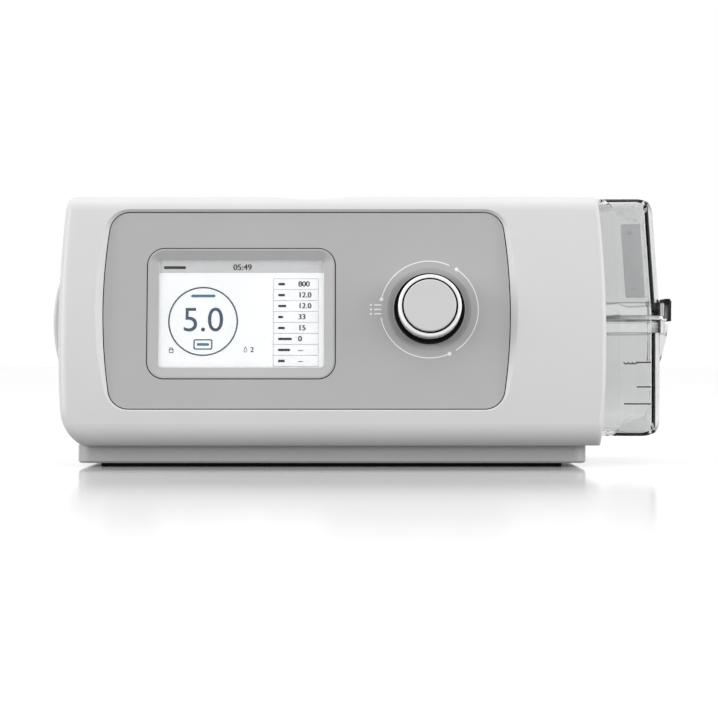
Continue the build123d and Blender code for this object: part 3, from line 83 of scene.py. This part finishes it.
# ------------------------------------------------------------------ node helpers
# how far the finest grain or brushing stands up from a surface, in metres
GRAIN_DEPTH = 0.00002

# the colour sockets of a Mix node, which share their names with its sockets for numbers
MIX_A, MIX_B, MIX_RESULT = 6, 7, 2


class Nodes:
    """A material's node tree with short calls to add and join nodes."""

    def __init__(self, name):
        self.mat = bpy.data.materials.new(name)
        self.mat.use_nodes = True
        self.tree = self.mat.node_tree
        self.tree.nodes.clear()
        self.out = self.add("ShaderNodeOutputMaterial")
        self.bsdf = self.add("ShaderNodeBsdfPrincipled")
        self.link(self.bsdf, "BSDF", self.out, "Surface")
        self.coord = self.add("ShaderNodeTexCoord")

    def add(self, kind, **settings):
        node = self.tree.nodes.new(kind)
        for key, value in settings.items():
            setattr(node, key, value)
        return node

    def link(self, a, a_name, b, b_name):
        self.tree.links.new(a.outputs[a_name], b.inputs[b_name])

    def put(self, **values):
        for key, value in values.items():
            self.bsdf.inputs[key.replace("_", " ")].default_value = value

    def noise(self, scale, detail=3.0, rough=0.55, stretch=None):
        node = self.add("ShaderNodeTexNoise")
        node.inputs["Scale"].default_value = scale
        node.inputs["Detail"].default_value = detail
        node.inputs["Roughness"].default_value = rough
        if stretch:
            mapping = self.add("ShaderNodeMapping")
            mapping.inputs["Scale"].default_value = stretch
            self.link(self.coord, "Object", mapping, "Vector")
            self.link(mapping, "Vector", node, "Vector")
        else:
            self.link(self.coord, "Object", node, "Vector")
        return node

    def ramp(self, source, output, stops):
        node = self.add("ShaderNodeValToRGB")
        while len(node.color_ramp.elements) < len(stops):
            node.color_ramp.elements.new(0.5)
        for element, (place, colour) in zip(node.color_ramp.elements, stops):
            element.position = place
            element.color = (*colour, 1)
        self.link(source, output, node, "Fac")
        return node

    def span(self, source, output, low, high, from_low=0.3, from_high=0.7):
        node = self.add("ShaderNodeMapRange")
        node.inputs["From Min"].default_value = from_low
        node.inputs["From Max"].default_value = from_high
        node.inputs["To Min"].default_value = low
        node.inputs["To Max"].default_value = high
        self.link(source, output, node, "Value")
        return node

    def bump(self, source, output, strength, distance, below=None):
        node = self.add("ShaderNodeBump")
        node.inputs["Strength"].default_value = strength
        node.inputs["Distance"].default_value = distance
        self.link(source, output, node, "Height")
        if below:
            self.link(below, "Normal", node, "Normal")
        return node


def shade(colour, factor):
    """A colour made darker or lighter, and no lighter than white."""
    return tuple(min(1.0, c * factor) for c in colour)


def moulded(name, colour, rough=0.4, grain=1400.0, vary=0.03, strength=0.35, **extra):
    """Moulded plastic: a fine spark-eroded grain, slow colour drift and smudges in the gloss."""
    n = Nodes(name)
    drift = n.noise(26.0, 4.0)
    colours = n.ramp(drift, "Fac", [(0.3, shade(colour, 1 - vary)), (0.7, shade(colour, 1 + vary))])
    n.link(colours, "Color", n.bsdf, "Base Color")
    smudge = n.noise(60.0, 6.0, 0.6)
    gloss = n.span(smudge, "Fac", rough * 0.88, rough * 1.12)
    n.link(gloss, "Result", n.bsdf, "Roughness")
    fine = n.noise(grain, 2.0, 0.5)
    wave = n.noise(70.0, 1.0, 0.4)
    below = n.bump(wave, "Fac", 0.06, 0.0002)
    over = n.bump(fine, "Fac", strength, GRAIN_DEPTH, below)
    n.link(over, "Normal", n.bsdf, "Normal")
    n.put(**extra)
    return n.mat


def metal(name, colour, rough=0.25, brush=None, vary=0.05, metallic=1.0):
    """Metal with a brushed or blasted finish."""
    n = Nodes(name)
    drift = n.noise(45.0, 4.0)
    colours = n.ramp(drift, "Fac", [(0.3, shade(colour, 1 - vary)), (0.7, shade(colour, 1 + vary))])
    n.link(colours, "Color", n.bsdf, "Base Color")
    lines = n.noise(900.0, 3.0, 0.6, stretch=brush)
    gloss = n.span(lines, "Fac", rough * 0.7, rough * 1.3)
    n.link(gloss, "Result", n.bsdf, "Roughness")
    over = n.bump(lines, "Fac", 0.15, GRAIN_DEPTH)
    n.link(over, "Normal", n.bsdf, "Normal")
    n.put(Metallic=metallic)
    return n.mat


def clear(name, colour, rough, ior, ripple, rim=None, **extra):
    """Clear moulded polycarbonate with slow ripples from the mould and faint water marks.

    `rim` is the lower and upper height in metres of a thick moulded rim, which is painted paler across its
    height as a painted highlight, with thin dark lines of painted shade along its upper and lower edges.
    """
    n = Nodes(name)
    tint = n.noise(30.0, 3.0)
    colours = n.ramp(tint, "Fac", [(0.3, shade(colour, 0.985)), (0.7, shade(colour, 1.01))])
    if rim:
        low, high = rim
        margin, painted_line_width = 4 * MM, 0.5 * MM
        split = n.add("ShaderNodeSeparateXYZ")
        n.link(n.coord, "Object", split, "Vector")
        height = n.span(split, "Z", 0.0, 1.0, low - margin, high + margin)
        edge = margin / (high - low + 2 * margin)
        line = painted_line_width / (high - low + 2 * margin)
        # the painted rim band: paler across the rim as a painted highlight, with dark lines of painted shade
        # at its edges, multiplied into the colour
        plain, painted_edge_shade, painted_rim_highlight = (0.93, 0.93, 0.93), (0.45, 0.45, 0.45), (1.0, 1.0, 1.0)
        stops = [(0.0, plain), (edge - line, plain), (edge, painted_edge_shade), (edge + line, painted_rim_highlight)]
        stops += [(1 - edge - line, painted_rim_highlight), (1 - edge, painted_edge_shade), (1 - edge + line, plain)]
        band = n.ramp(height, "Result", stops)
        mix = n.add("ShaderNodeMix", data_type="RGBA", blend_type="MULTIPLY")
        mix.inputs["Factor"].default_value = 1.0
        n.tree.links.new(colours.outputs["Color"], mix.inputs[MIX_A])
        n.tree.links.new(band.outputs["Color"], mix.inputs[MIX_B])
        n.tree.links.new(mix.outputs[MIX_RESULT], n.bsdf.inputs["Base Color"])
    else:
        n.link(colours, "Color", n.bsdf, "Base Color")
    marks = n.noise(120.0, 6.0, 0.65)
    gloss = n.span(marks, "Fac", rough * 0.6, rough * 1.8, 0.4, 0.75)
    n.link(gloss, "Result", n.bsdf, "Roughness")
    wave = n.noise(45.0, 1.5, 0.4)
    over = n.bump(wave, "Fac", ripple, 0.0006)
    n.link(over, "Normal", n.bsdf, "Normal")
    n.put(Transmission_Weight=1.0, IOR=ior)
    n.put(**extra)
    return n.mat


def foam(name, colour):
    """Open-cell foam."""
    n = Nodes(name)
    cell = n.add("ShaderNodeTexVoronoi", feature="SMOOTH_F1")
    cell.inputs["Scale"].default_value = 900.0
    n.link(n.coord, "Object", cell, "Vector")
    colours = n.ramp(cell, "Distance", [(0.1, shade(colour, 0.35)), (0.55, shade(colour, 1.4))])
    n.link(colours, "Color", n.bsdf, "Base Color")
    over = n.bump(cell, "Distance", 0.9, 0.0006)
    n.link(over, "Normal", n.bsdf, "Normal")
    n.put(Roughness=0.95)
    return n.mat


def rubber(name, colour, rough=0.62, **extra):
    """Matt rubber with a dusty bloom."""
    n = Nodes(name)
    dust = n.noise(240.0, 5.0, 0.65)
    colours = n.ramp(dust, "Fac", [(0.35, shade(colour, 0.85)), (0.8, shade(colour, 1.5))])
    n.link(colours, "Color", n.bsdf, "Base Color")
    over = n.bump(n.noise(1800.0, 2.0), "Fac", 0.3, 0.00003)
    n.link(over, "Normal", n.bsdf, "Normal")
    gloss = n.span(dust, "Fac", rough * 0.9, rough * 1.15)
    n.link(gloss, "Result", n.bsdf, "Roughness")
    n.put(**extra)
    return n.mat


def glowing(name, colour, strength, vary=0.03, grid=0.0):
    """A lit face: a fixed glow over a drifting colour, with fine bumps where `grid` sets their scale."""
    n = Nodes(name)
    drift = n.noise(60.0, 2.0)
    stops = [(0.3, shade(colour, 1 - vary)), (0.7, shade(colour, 1 + vary))]
    colours = n.ramp(drift, "Fac", stops)
    n.link(colours, "Color", n.bsdf, "Base Color")
    n.link(colours, "Color", n.bsdf, "Emission Color")
    n.put(Roughness=0.5, Emission_Strength=strength)
    if grid:
        over = n.bump(n.noise(grid, 1.0), "Fac", 0.1, GRAIN_DEPTH)
        n.link(over, "Normal", n.bsdf, "Normal")
    return n.mat


# ------------------------------------------------------------------ materials of the record's slots
# heights of the clear rims, which meet at the gasket
TUB_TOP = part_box("tank_gasket")[0][2] - 0.3 * MM
LID_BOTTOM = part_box("tank_gasket")[1][2]
RIM_H = 6 * MM
TANK_TINT = (0.81, 0.815, 0.817)
M = {
    "white_shell": moulded("shell_white", (0.665, 0.665, 0.664), 0.34, strength=0.2, vary=0.012),
    "white_gloss": moulded("button_white", (0.84, 0.84, 0.84), 0.2, strength=0.1),
    "grey_plastic": moulded("plinth_grey", (0.42, 0.42, 0.423), 0.36, vary=0.02),
    "light_grey": moulded("light_grey", (0.60, 0.61, 0.62), 0.38),
    "panel_grey": moulded("panel_grey", (0.44, 0.44, 0.442), 0.36, grain=2200.0, vary=0.02),
    "black_plastic": moulded("plastic_black", (0.003, 0.003, 0.0032), 0.7, Specular_IOR_Level=0.06),
    "knob_grey": moulded("knob_grey", (0.62, 0.62, 0.625), 0.34, grain=2600.0),
    "chrome_ring": metal("ring_chrome", (0.9, 0.9, 0.905), 0.35, metallic=0.15),
    "black_rubber": rubber("foot_rubber", (0.004, 0.004, 0.0042), 0.8, Specular_IOR_Level=0.05),
    "grey_rubber": rubber("flap_rubber", (0.16, 0.165, 0.17)),
    "soft_silicone": rubber("silicone", (0.62, 0.63, 0.635), 0.5),
    "zinc_steel": metal("zinc_steel", (0.62, 0.63, 0.65), 0.32),
    "base_steel": metal("base_steel", (0.66, 0.66, 0.67), 0.28, brush=(0.1, 1.0, 1.0)),
    "can_aluminium": metal("aluminium", (0.78, 0.79, 0.8), 0.4),
    "copper_stator": metal("copper", (0.72, 0.33, 0.16), 0.35, brush=(1.0, 1.0, 0.08)),
    "white_print": moulded("print_white", (0.9, 0.9, 0.9), 0.45, vary=0.015),
    "black_print": moulded("print_black", (0.01, 0.01, 0.011), 0.5, vary=0.1),
    "clear_window": clear("window", (0.98, 0.985, 0.99), 0.03, 1.45, 0.02),
    "screen_black": glowing("screen_white", (0.86, 0.87, 0.875), 0.36, 0.01, 3000.0),
    "green_board": moulded("board_green", (0.02, 0.13, 0.06), 0.35, grain=700.0),
    "filter_foam": foam("filter_foam", (0.20, 0.21, 0.22)),
    "dark_foam": foam("muffler_foam", (0.05, 0.05, 0.055)),
    "label_silver": metal("label_silver", (0.72, 0.73, 0.74), 0.35, brush=(1.0, 1.0, 0.1)),
    "tank_clear": clear("tank_clear", TANK_TINT, 0.05, 1.14, 0.04, (TUB_TOP - RIM_H, TUB_TOP)),
    "lid_clear": clear("lid_clear", TANK_TINT, 0.05, 1.14, 0.04, (LID_BOTTOM, LID_BOTTOM + RIM_H)),
    "frosted_clear": moulded("tank_baffle", (0.62, 0.625, 0.63), 0.5, Alpha=0.45, Specular_IOR_Level=0.1),
    "smoked_clear": clear("latch_smoke", (0.01, 0.011, 0.012), 0.55, 1.4, 0.1, Specular_IOR_Level=0.1),
}
slot_of = {entry["node"]: entry["material_slot"] for entry in frame["record"]["subparts"]}
for name, node in nodes.items():
    node.data.materials.clear()
    node.data.materials.append(M[slot_of[name]])

# smooth shading everywhere, with a crisp line where two faces meet at more than SHARP
SHARP = math.radians(28)
for node in nodes.values():
    for polygon in node.data.polygons:
        polygon.use_smooth = True
    node.data.set_sharp_from_angle(angle=SHARP)


# ------------------------------------------------------------------ what the display shows
# the drawings lie BEHIND mm behind the middle of the window, and those with more lift are nearer the viewer
SCREEN = centre("display_lens")
BEHIND = 0.675
LIFT_BAR, LIFT_LINE, LIFT_INK = 0.02, 0.04, 0.05


def screen_matrix(u, v, lift):
    """Where a flat drawing goes: u and v in mm along the display, lift in mm towards the viewer."""
    place = SCREEN + (RIGHT * u + UP * v + OUT * (lift - BEHIND)) * MM
    matrix = Matrix((RIGHT, UP, OUT)).transposed().to_4x4()
    matrix.translation = place
    return matrix


def band(work, inner, outer):
    """Joins two closed rows of vertices by a ring of faces."""
    count = len(inner)
    for i in range(count):
        j = (i + 1) % count
        work.faces.new((inner[i], outer[i], outer[j], inner[j]))


def mesh_object(name, work, material):
    """Turns a bmesh into an object in the scene, with one material."""
    mesh = bpy.data.meshes.new(name)
    work.to_mesh(mesh)
    work.free()
    mesh.materials.append(material)
    obj = bpy.data.objects.new(name, mesh)
    bpy.context.scene.collection.objects.link(obj)
    return obj


def flat_piece(name, outlines, u, v, lift, material):
    """A flat printed piece from pairs of closed outlines in mm: an edge, and a hole in it or None."""
    work = bmesh.new()
    for outline, hole in outlines:
        edge = [work.verts.new((x * MM, y * MM, 0)) for x, y in outline]
        if hole is None:
            work.faces.new(edge)
        else:
            inner = [work.verts.new((x * MM, y * MM, 0)) for x, y in hole]
            band(work, inner, edge)
    bmesh.ops.recalc_face_normals(work, faces=work.faces)
    obj = mesh_object(name, work, material)
    obj.matrix_world = screen_matrix(u, v, lift)
    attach(obj, "main_unit")


def ring_points(radius, count=96):
    """Points round a circle."""
    return [
        (radius * math.cos(2 * math.pi * i / count), radius * math.sin(2 * math.pi * i / count))
        for i in range(count)
    ]


def round_box(w, h, r, steps=6):
    """Points round a rectangle with round corners."""
    points = []
    for start, (side, end) in zip((0, 90, 180, 270), ((1, 1), (-1, 1), (-1, -1), (1, -1))):
        for i in range(steps + 1):
            angle = math.radians(start + 90 * i / steps)
            x = side * (w / 2 - r) + r * math.cos(angle)
            y = end * (h / 2 - r) + r * math.sin(angle)
            points.append((x, y))
    return points


def plate(x0, y0, x1, y1):
    """A plain rectangle, as an outline without a hole."""
    return ([(x0, y0), (x1, y0), (x1, y1), (x0, y1)], None)


def dash(length, height, radius):
    """A short round-ended bar that stands for a word."""
    return [(round_box(length, height, radius), None)]


def half_ring(radius, step=15):
    """Points along the upper half of a circle."""
    angles = [math.radians(a) for a in range(0, 181, step)]
    return [(radius * math.cos(a), radius * math.sin(a)) for a in angles]


INK = moulded("ink_dark", (0.004, 0.005, 0.006), 0.7, vary=0.1, Specular_IOR_Level=0.05)
INK_BLUE = moulded("ink_blue", (0.008, 0.05, 0.11), 0.5, vary=0.1)
INK_SKY = moulded("ink_sky", (0.03, 0.18, 0.30), 0.5, vary=0.1)
INK_GREY = moulded("ink_grey", (0.27, 0.27, 0.275), 0.6, vary=0.05, Specular_IOR_Level=0.1)
BAR_GREY = glowing("bar_grey", (0.60, 0.60, 0.603), 0.2, 0.02)


def words(name, text, size, u, v, lift, material, align="CENTER", bold=0.0):
    """Figures shown on the display, as a flat mesh, drawn three times side by side where they are bold."""
    curve = bpy.data.curves.new(name, "FONT")
    curve.body = text
    curve.size = size * MM
    curve.align_x = align
    curve.align_y = "CENTER"
    source = bpy.data.objects.new(name + "_curve", curve)
    bpy.context.scene.collection.objects.link(source)
    bpy.context.view_layer.update()
    mesh = bpy.data.meshes.new_from_object(source.evaluated_get(bpy.context.evaluated_depsgraph_get()))
    bpy.data.objects.remove(source)
    strokes = bmesh.new()
    for shift in (-bold, 0, bold) if bold else (0,):
        stroke = mesh.copy()
        stroke.transform(Matrix.Translation((shift * MM, 0, 0)))
        strokes.from_mesh(stroke)
        bpy.data.meshes.remove(stroke)
    strokes.to_mesh(mesh)
    strokes.free()
    obj = bpy.data.objects.new(name, mesh)
    mesh.materials.clear()
    mesh.materials.append(material)
    obj.matrix_world = screen_matrix(u, v, lift)
    bpy.context.scene.collection.objects.link(obj)
    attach(obj, "main_unit")


# places in mm from the middle of the display, u to the right and v up
BAR_V, HEADER_V = 21.6, 21.4
DIAL_U, DIAL_V = -17.3, -3.2
DIAL_R, DIAL_LINE = 15.8, 0.7
MODE_V = -13.7
LOCK_U, LOCK_V = -31.6, -16.7

flat_piece("ui_bar", [plate(-37.2, -2.7, 37.2, 2.7)], 0, BAR_V, LIFT_BAR, BAR_GREY)
words("ui_clock", "05:49", 3.8, 0.4, HEADER_V, LIFT_INK, INK, bold=0.13)
flat_piece("ui_title", dash(10.0, 1.3, 0.5), -30.2, HEADER_V, LIFT_INK, INK)
dial = [(ring_points(DIAL_R), ring_points(DIAL_R - DIAL_LINE))]
flat_piece("ui_ring", dial, DIAL_U, DIAL_V, LIFT_LINE, INK_BLUE)
words("ui_big_value", "5.0", 15.6, DIAL_U, DIAL_V + 0.2, LIFT_INK, INK_BLUE)
flat_piece("ui_label", dash(11, 1.3, 0.6), DIAL_U, 8.4, LIFT_LINE, INK_SKY)
mode_frame = [(round_box(8.6, 4.8, 0.9), round_box(7.4, 3.6, 0.5))]
flat_piece("ui_mode_box", mode_frame, DIAL_U, MODE_V, LIFT_LINE, INK_BLUE)
flat_piece("ui_mode_mark", dash(5.6, 1.2, 0.5), DIAL_U, MODE_V, LIFT_INK, INK_SKY)
words("ui_level", "2", 3.4, 4.9, -16.2, LIFT_INK, INK, bold=0.08)

# a water drop: a point at the top over most of a circle, with a smaller drop cut out of it
DROP_R, DROP_TIP, DROP_SINK, DROP_STEPS = 0.85, 1.7, 0.4, 12
HOLE_SHARE, HOLE_V = 0.68, -0.3
drop = [(0.0, DROP_TIP)]
for i in range(DROP_STEPS + 1):
    angle = math.radians(40 - 260 * i / DROP_STEPS)
    drop.append((DROP_R * math.cos(angle), -DROP_SINK + DROP_R * math.sin(angle)))
hole = [(x * HOLE_SHARE, HOLE_V + (y - HOLE_V) * HOLE_SHARE) for x, y in drop]
flat_piece("ui_drop", [(drop, hole)], 1.9, -16.1, LIFT_INK, INK)

lock_body = [(round_box(2.1, 1.7, 0.3), round_box(1.4, 1.0, 0.15))]
flat_piece("ui_lock_body", lock_body, LOCK_U, LOCK_V, LIFT_INK, INK)
lock_bow = half_ring(0.8) + half_ring(0.45)[::-1]
flat_piece("ui_lock_bow", [(lock_bow, None)], LOCK_U, LOCK_V + 0.85, LIFT_INK, INK)

# each row of the table: its value and the length of the word beside it
ROWS = [("800", 3.0), ("12.0", 3.0), ("12.0", 3.6), ("33", 2.2)]
ROWS += [("15", 3.0), ("0", 6.2), ("--", 5.4), ("--", 3.0)]
TABLE_LEFT, TABLE_RIGHT, TABLE_TOP, ROW_H = 14.4, 34.7, 16.3, 5.0
NAME_U, VALUE_U = TABLE_LEFT + 2.2, TABLE_LEFT + 11.2
HALF_RULE = 0.09
rules = []
width = TABLE_RIGHT - TABLE_LEFT
for i in range(len(ROWS) + 1):
    y = -i * ROW_H
    rules.append(plate(0, y - HALF_RULE, width, y + HALF_RULE))
deep = len(ROWS) * ROW_H
for x in (0, width):
    rules.append(plate(x - HALF_RULE, -deep, x + HALF_RULE, 0))
flat_piece("ui_table", rules, TABLE_LEFT, TABLE_TOP, LIFT_LINE, INK_GREY)
for i, (value, long) in enumerate(ROWS):
    v = TABLE_TOP - (i + 0.5) * ROW_H
    words(f"ui_value_{i}", value, 3.5, VALUE_U, v, LIFT_INK, INK, "LEFT", 0.12)
    flat_piece(f"ui_name_{i}", dash(long, 1.1, 0.35), NAME_U + long / 2, v, LIFT_INK, INK)

# ------------------------------------------------------------------ black strips in the gaps round the panel and the bezel, as painted shade in the grooves
# the middle of the panel's front face, and the bezel's middle moved level with it
HALF_PANEL = 1.0
PANEL_FACE = centre("control_panel") + OUT * HALF_PANEL * MM
bezel_middle = centre("display_bezel")
BEZEL_FACE = bezel_middle - OUT * (bezel_middle - PANEL_FACE).dot(OUT)

# a strip starts and ends this far outside its outline, and lies this far below the face, in mm
SHADE_STRIP_START, SHADE_STRIP_END, SHADE_STRIP_DEPTH, SHADE_STRIP_CROWN = 0.02, 0.43, 0.7, 0.1


def shade_strip(name, outline, face):
    """A black strip of painted shade with a low crown along its middle, which follows an outline in mm about
    the point `face`.
    """
    work = bmesh.new()
    count = len(outline)
    aways = (SHADE_STRIP_START, (SHADE_STRIP_START + SHADE_STRIP_END) / 2, SHADE_STRIP_END)
    loops = [[], [], []]
    for i, point in enumerate(outline):
        before = Vector(outline[i - 1])
        after = Vector(outline[(i + 1) % count])
        along = (after - before).normalized()
        out = Vector((along.y, -along.x))
        for loop, away, sink in zip(loops, aways, (SHADE_STRIP_CROWN, 0.0, SHADE_STRIP_CROWN)):
            place = Vector(point) + out * away
            across = RIGHT * place.x + UP * place.y - OUT * (SHADE_STRIP_DEPTH + sink)
            loop.append(work.verts.new(face + across * MM))
    for inner, outer in zip(loops, loops[1:]):
        band(work, inner, outer)
    bmesh.ops.recalc_face_normals(work, faces=work.faces)
    obj = mesh_object(name, work, M["black_rubber"])
    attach(obj, "main_unit")


def hull(points):
    """The outline of a set of flat points, anticlockwise."""
    points = sorted(set(points))

    def half(row):
        chain = []
        for p in row:
            while len(chain) > 1:
                a, b = chain[-2], chain[-1]
                if (b[0] - a[0]) * (p[1] - a[1]) - (b[1] - a[1]) * (p[0] - a[0]) > 1e-9:
                    break
                chain.pop()
            chain.append(p)
        return chain[:-1]

    return half(points) + half(points[::-1])


edge_points = []
for vertex in nodes["control_panel"].data.vertices:
    away = vertex.co - PANEL_FACE
    edge_points.append((round(away.dot(RIGHT) / MM, 3), round(away.dot(UP) / MM, 3)))
# black strips of painted shade down in the gap round the panel and the gap round the bezel
shade_strip("panel_gap_shade", hull(edge_points), PANEL_FACE)
BEZEL_W, BEZEL_H, BEZEL_CORNER = 84.4, 59.0, 7.6
shade_strip("bezel_gap_shade", round_box(BEZEL_W, BEZEL_H, BEZEL_CORNER, 12), BEZEL_FACE)

# ------------------------------------------------------------------ springs under the heater plate
# a copy of the CAD springs, fixed to the main unit in place of the hidden CAD springs
springs = bpy.data.objects.new("heater_coil_springs", nodes["heater_springs"].data.copy())
springs.matrix_world = nodes["heater_springs"].matrix_world
bpy.context.scene.collection.objects.link(springs)
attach(springs, "main_unit")
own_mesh(springs)
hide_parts("heater_springs")

# ------------------------------------------------------------------ stage and light
FLOOR_SIDE, FLOOR_NEAR, FLOOR_FAR = 9, -4, 14
n = Nodes("floor_pale")
mottle = n.noise(1.5, 2.0)
colours = n.ramp(mottle, "Fac", [(0.3, (0.97, 0.97, 0.97)), (0.7, (0.995, 0.995, 0.995))])
n.link(colours, "Color", n.bsdf, "Base Color")
reach = n.add("ShaderNodeVectorMath", operation="LENGTH")
n.link(n.coord, "Object", reach, "Vector")
# the floor mirrors the object near it, and the mirror blurs and fades by FADE_END metres away
GLOSS_START, SHINE_START, FADE_END = 0.12, 0.2, 0.65
gloss = n.span(reach, "Value", 0.05, 0.3, GLOSS_START, FADE_END)
n.link(gloss, "Result", n.bsdf, "Roughness")
shine = n.span(reach, "Value", 0.6, 0.0, SHINE_START, FADE_END)
n.link(shine, "Result", n.bsdf, "Specular IOR Level")
work = bmesh.new()
near = [work.verts.new((side, FLOOR_NEAR, 0)) for side in (-FLOOR_SIDE, FLOOR_SIDE)]
far = [work.verts.new((side, FLOOR_FAR, 0)) for side in (FLOOR_SIDE, -FLOOR_SIDE)]
work.faces.new(near + far)
floor = mesh_object("floor", work, n.mat)
floor.visible_diffuse = False


def soft_light(name, place, target, size, size_y, power):
    """A white rectangular lamp, with its sides in metres, turned towards a target."""
    light = bpy.data.lights.new(name, "AREA")
    light.shape = "RECTANGLE"
    light.size = size
    light.size_y = size_y
    light.energy = power
    obj = bpy.data.objects.new(name, light)
    obj.location = place
    obj.rotation_euler = (Vector(target) - Vector(place)).to_track_quat("-Z", "Y").to_euler()
    bpy.context.scene.collection.objects.link(obj)


soft_light("top_light", (0.0, 0.15, 1.4), (0, 0, 0), 1.6, 1.2, 3)
SIDES = (("left", -1.5), ("right", 1.5))
for word, side in SIDES:
    soft_light(f"front_{word}", (side, -1.4, 0.3), (0, 0, 0.05), 0.9, 0.6, 6)
for word, side in SIDES:
    soft_light(f"{word}_strip", (side, -0.5, 0.35), (0, 0, 0.06), 0.3, 1.0, 8)

# a white studio above, and dark from just under the horizon down, in terms of the view direction's Z
HORIZON_LOW, HORIZON_HIGH = -0.06, -0.01
DARK, WHITE = 0.10, 1.0
world = bpy.data.worlds.new("studio")
world.use_nodes = True
tree = world.node_tree
background = tree.nodes["Background"]
coord = tree.nodes.new("ShaderNodeTexCoord")
split = tree.nodes.new("ShaderNodeSeparateXYZ")
rise = tree.nodes.new("ShaderNodeMapRange")
rise.inputs["From Min"].default_value = HORIZON_LOW
rise.inputs["From Max"].default_value = HORIZON_HIGH
rise.inputs["To Min"].default_value = DARK
rise.inputs["To Max"].default_value = WHITE
tree.links.new(coord.outputs["Generated"], split.inputs["Vector"])
tree.links.new(split.outputs["Z"], rise.inputs["Value"])
tree.links.new(rise.outputs["Result"], background.inputs["Color"])
background.inputs["Strength"].default_value = 1.0
bpy.context.scene.world = world
bpy.context.scene.view_settings.view_transform = "Standard"
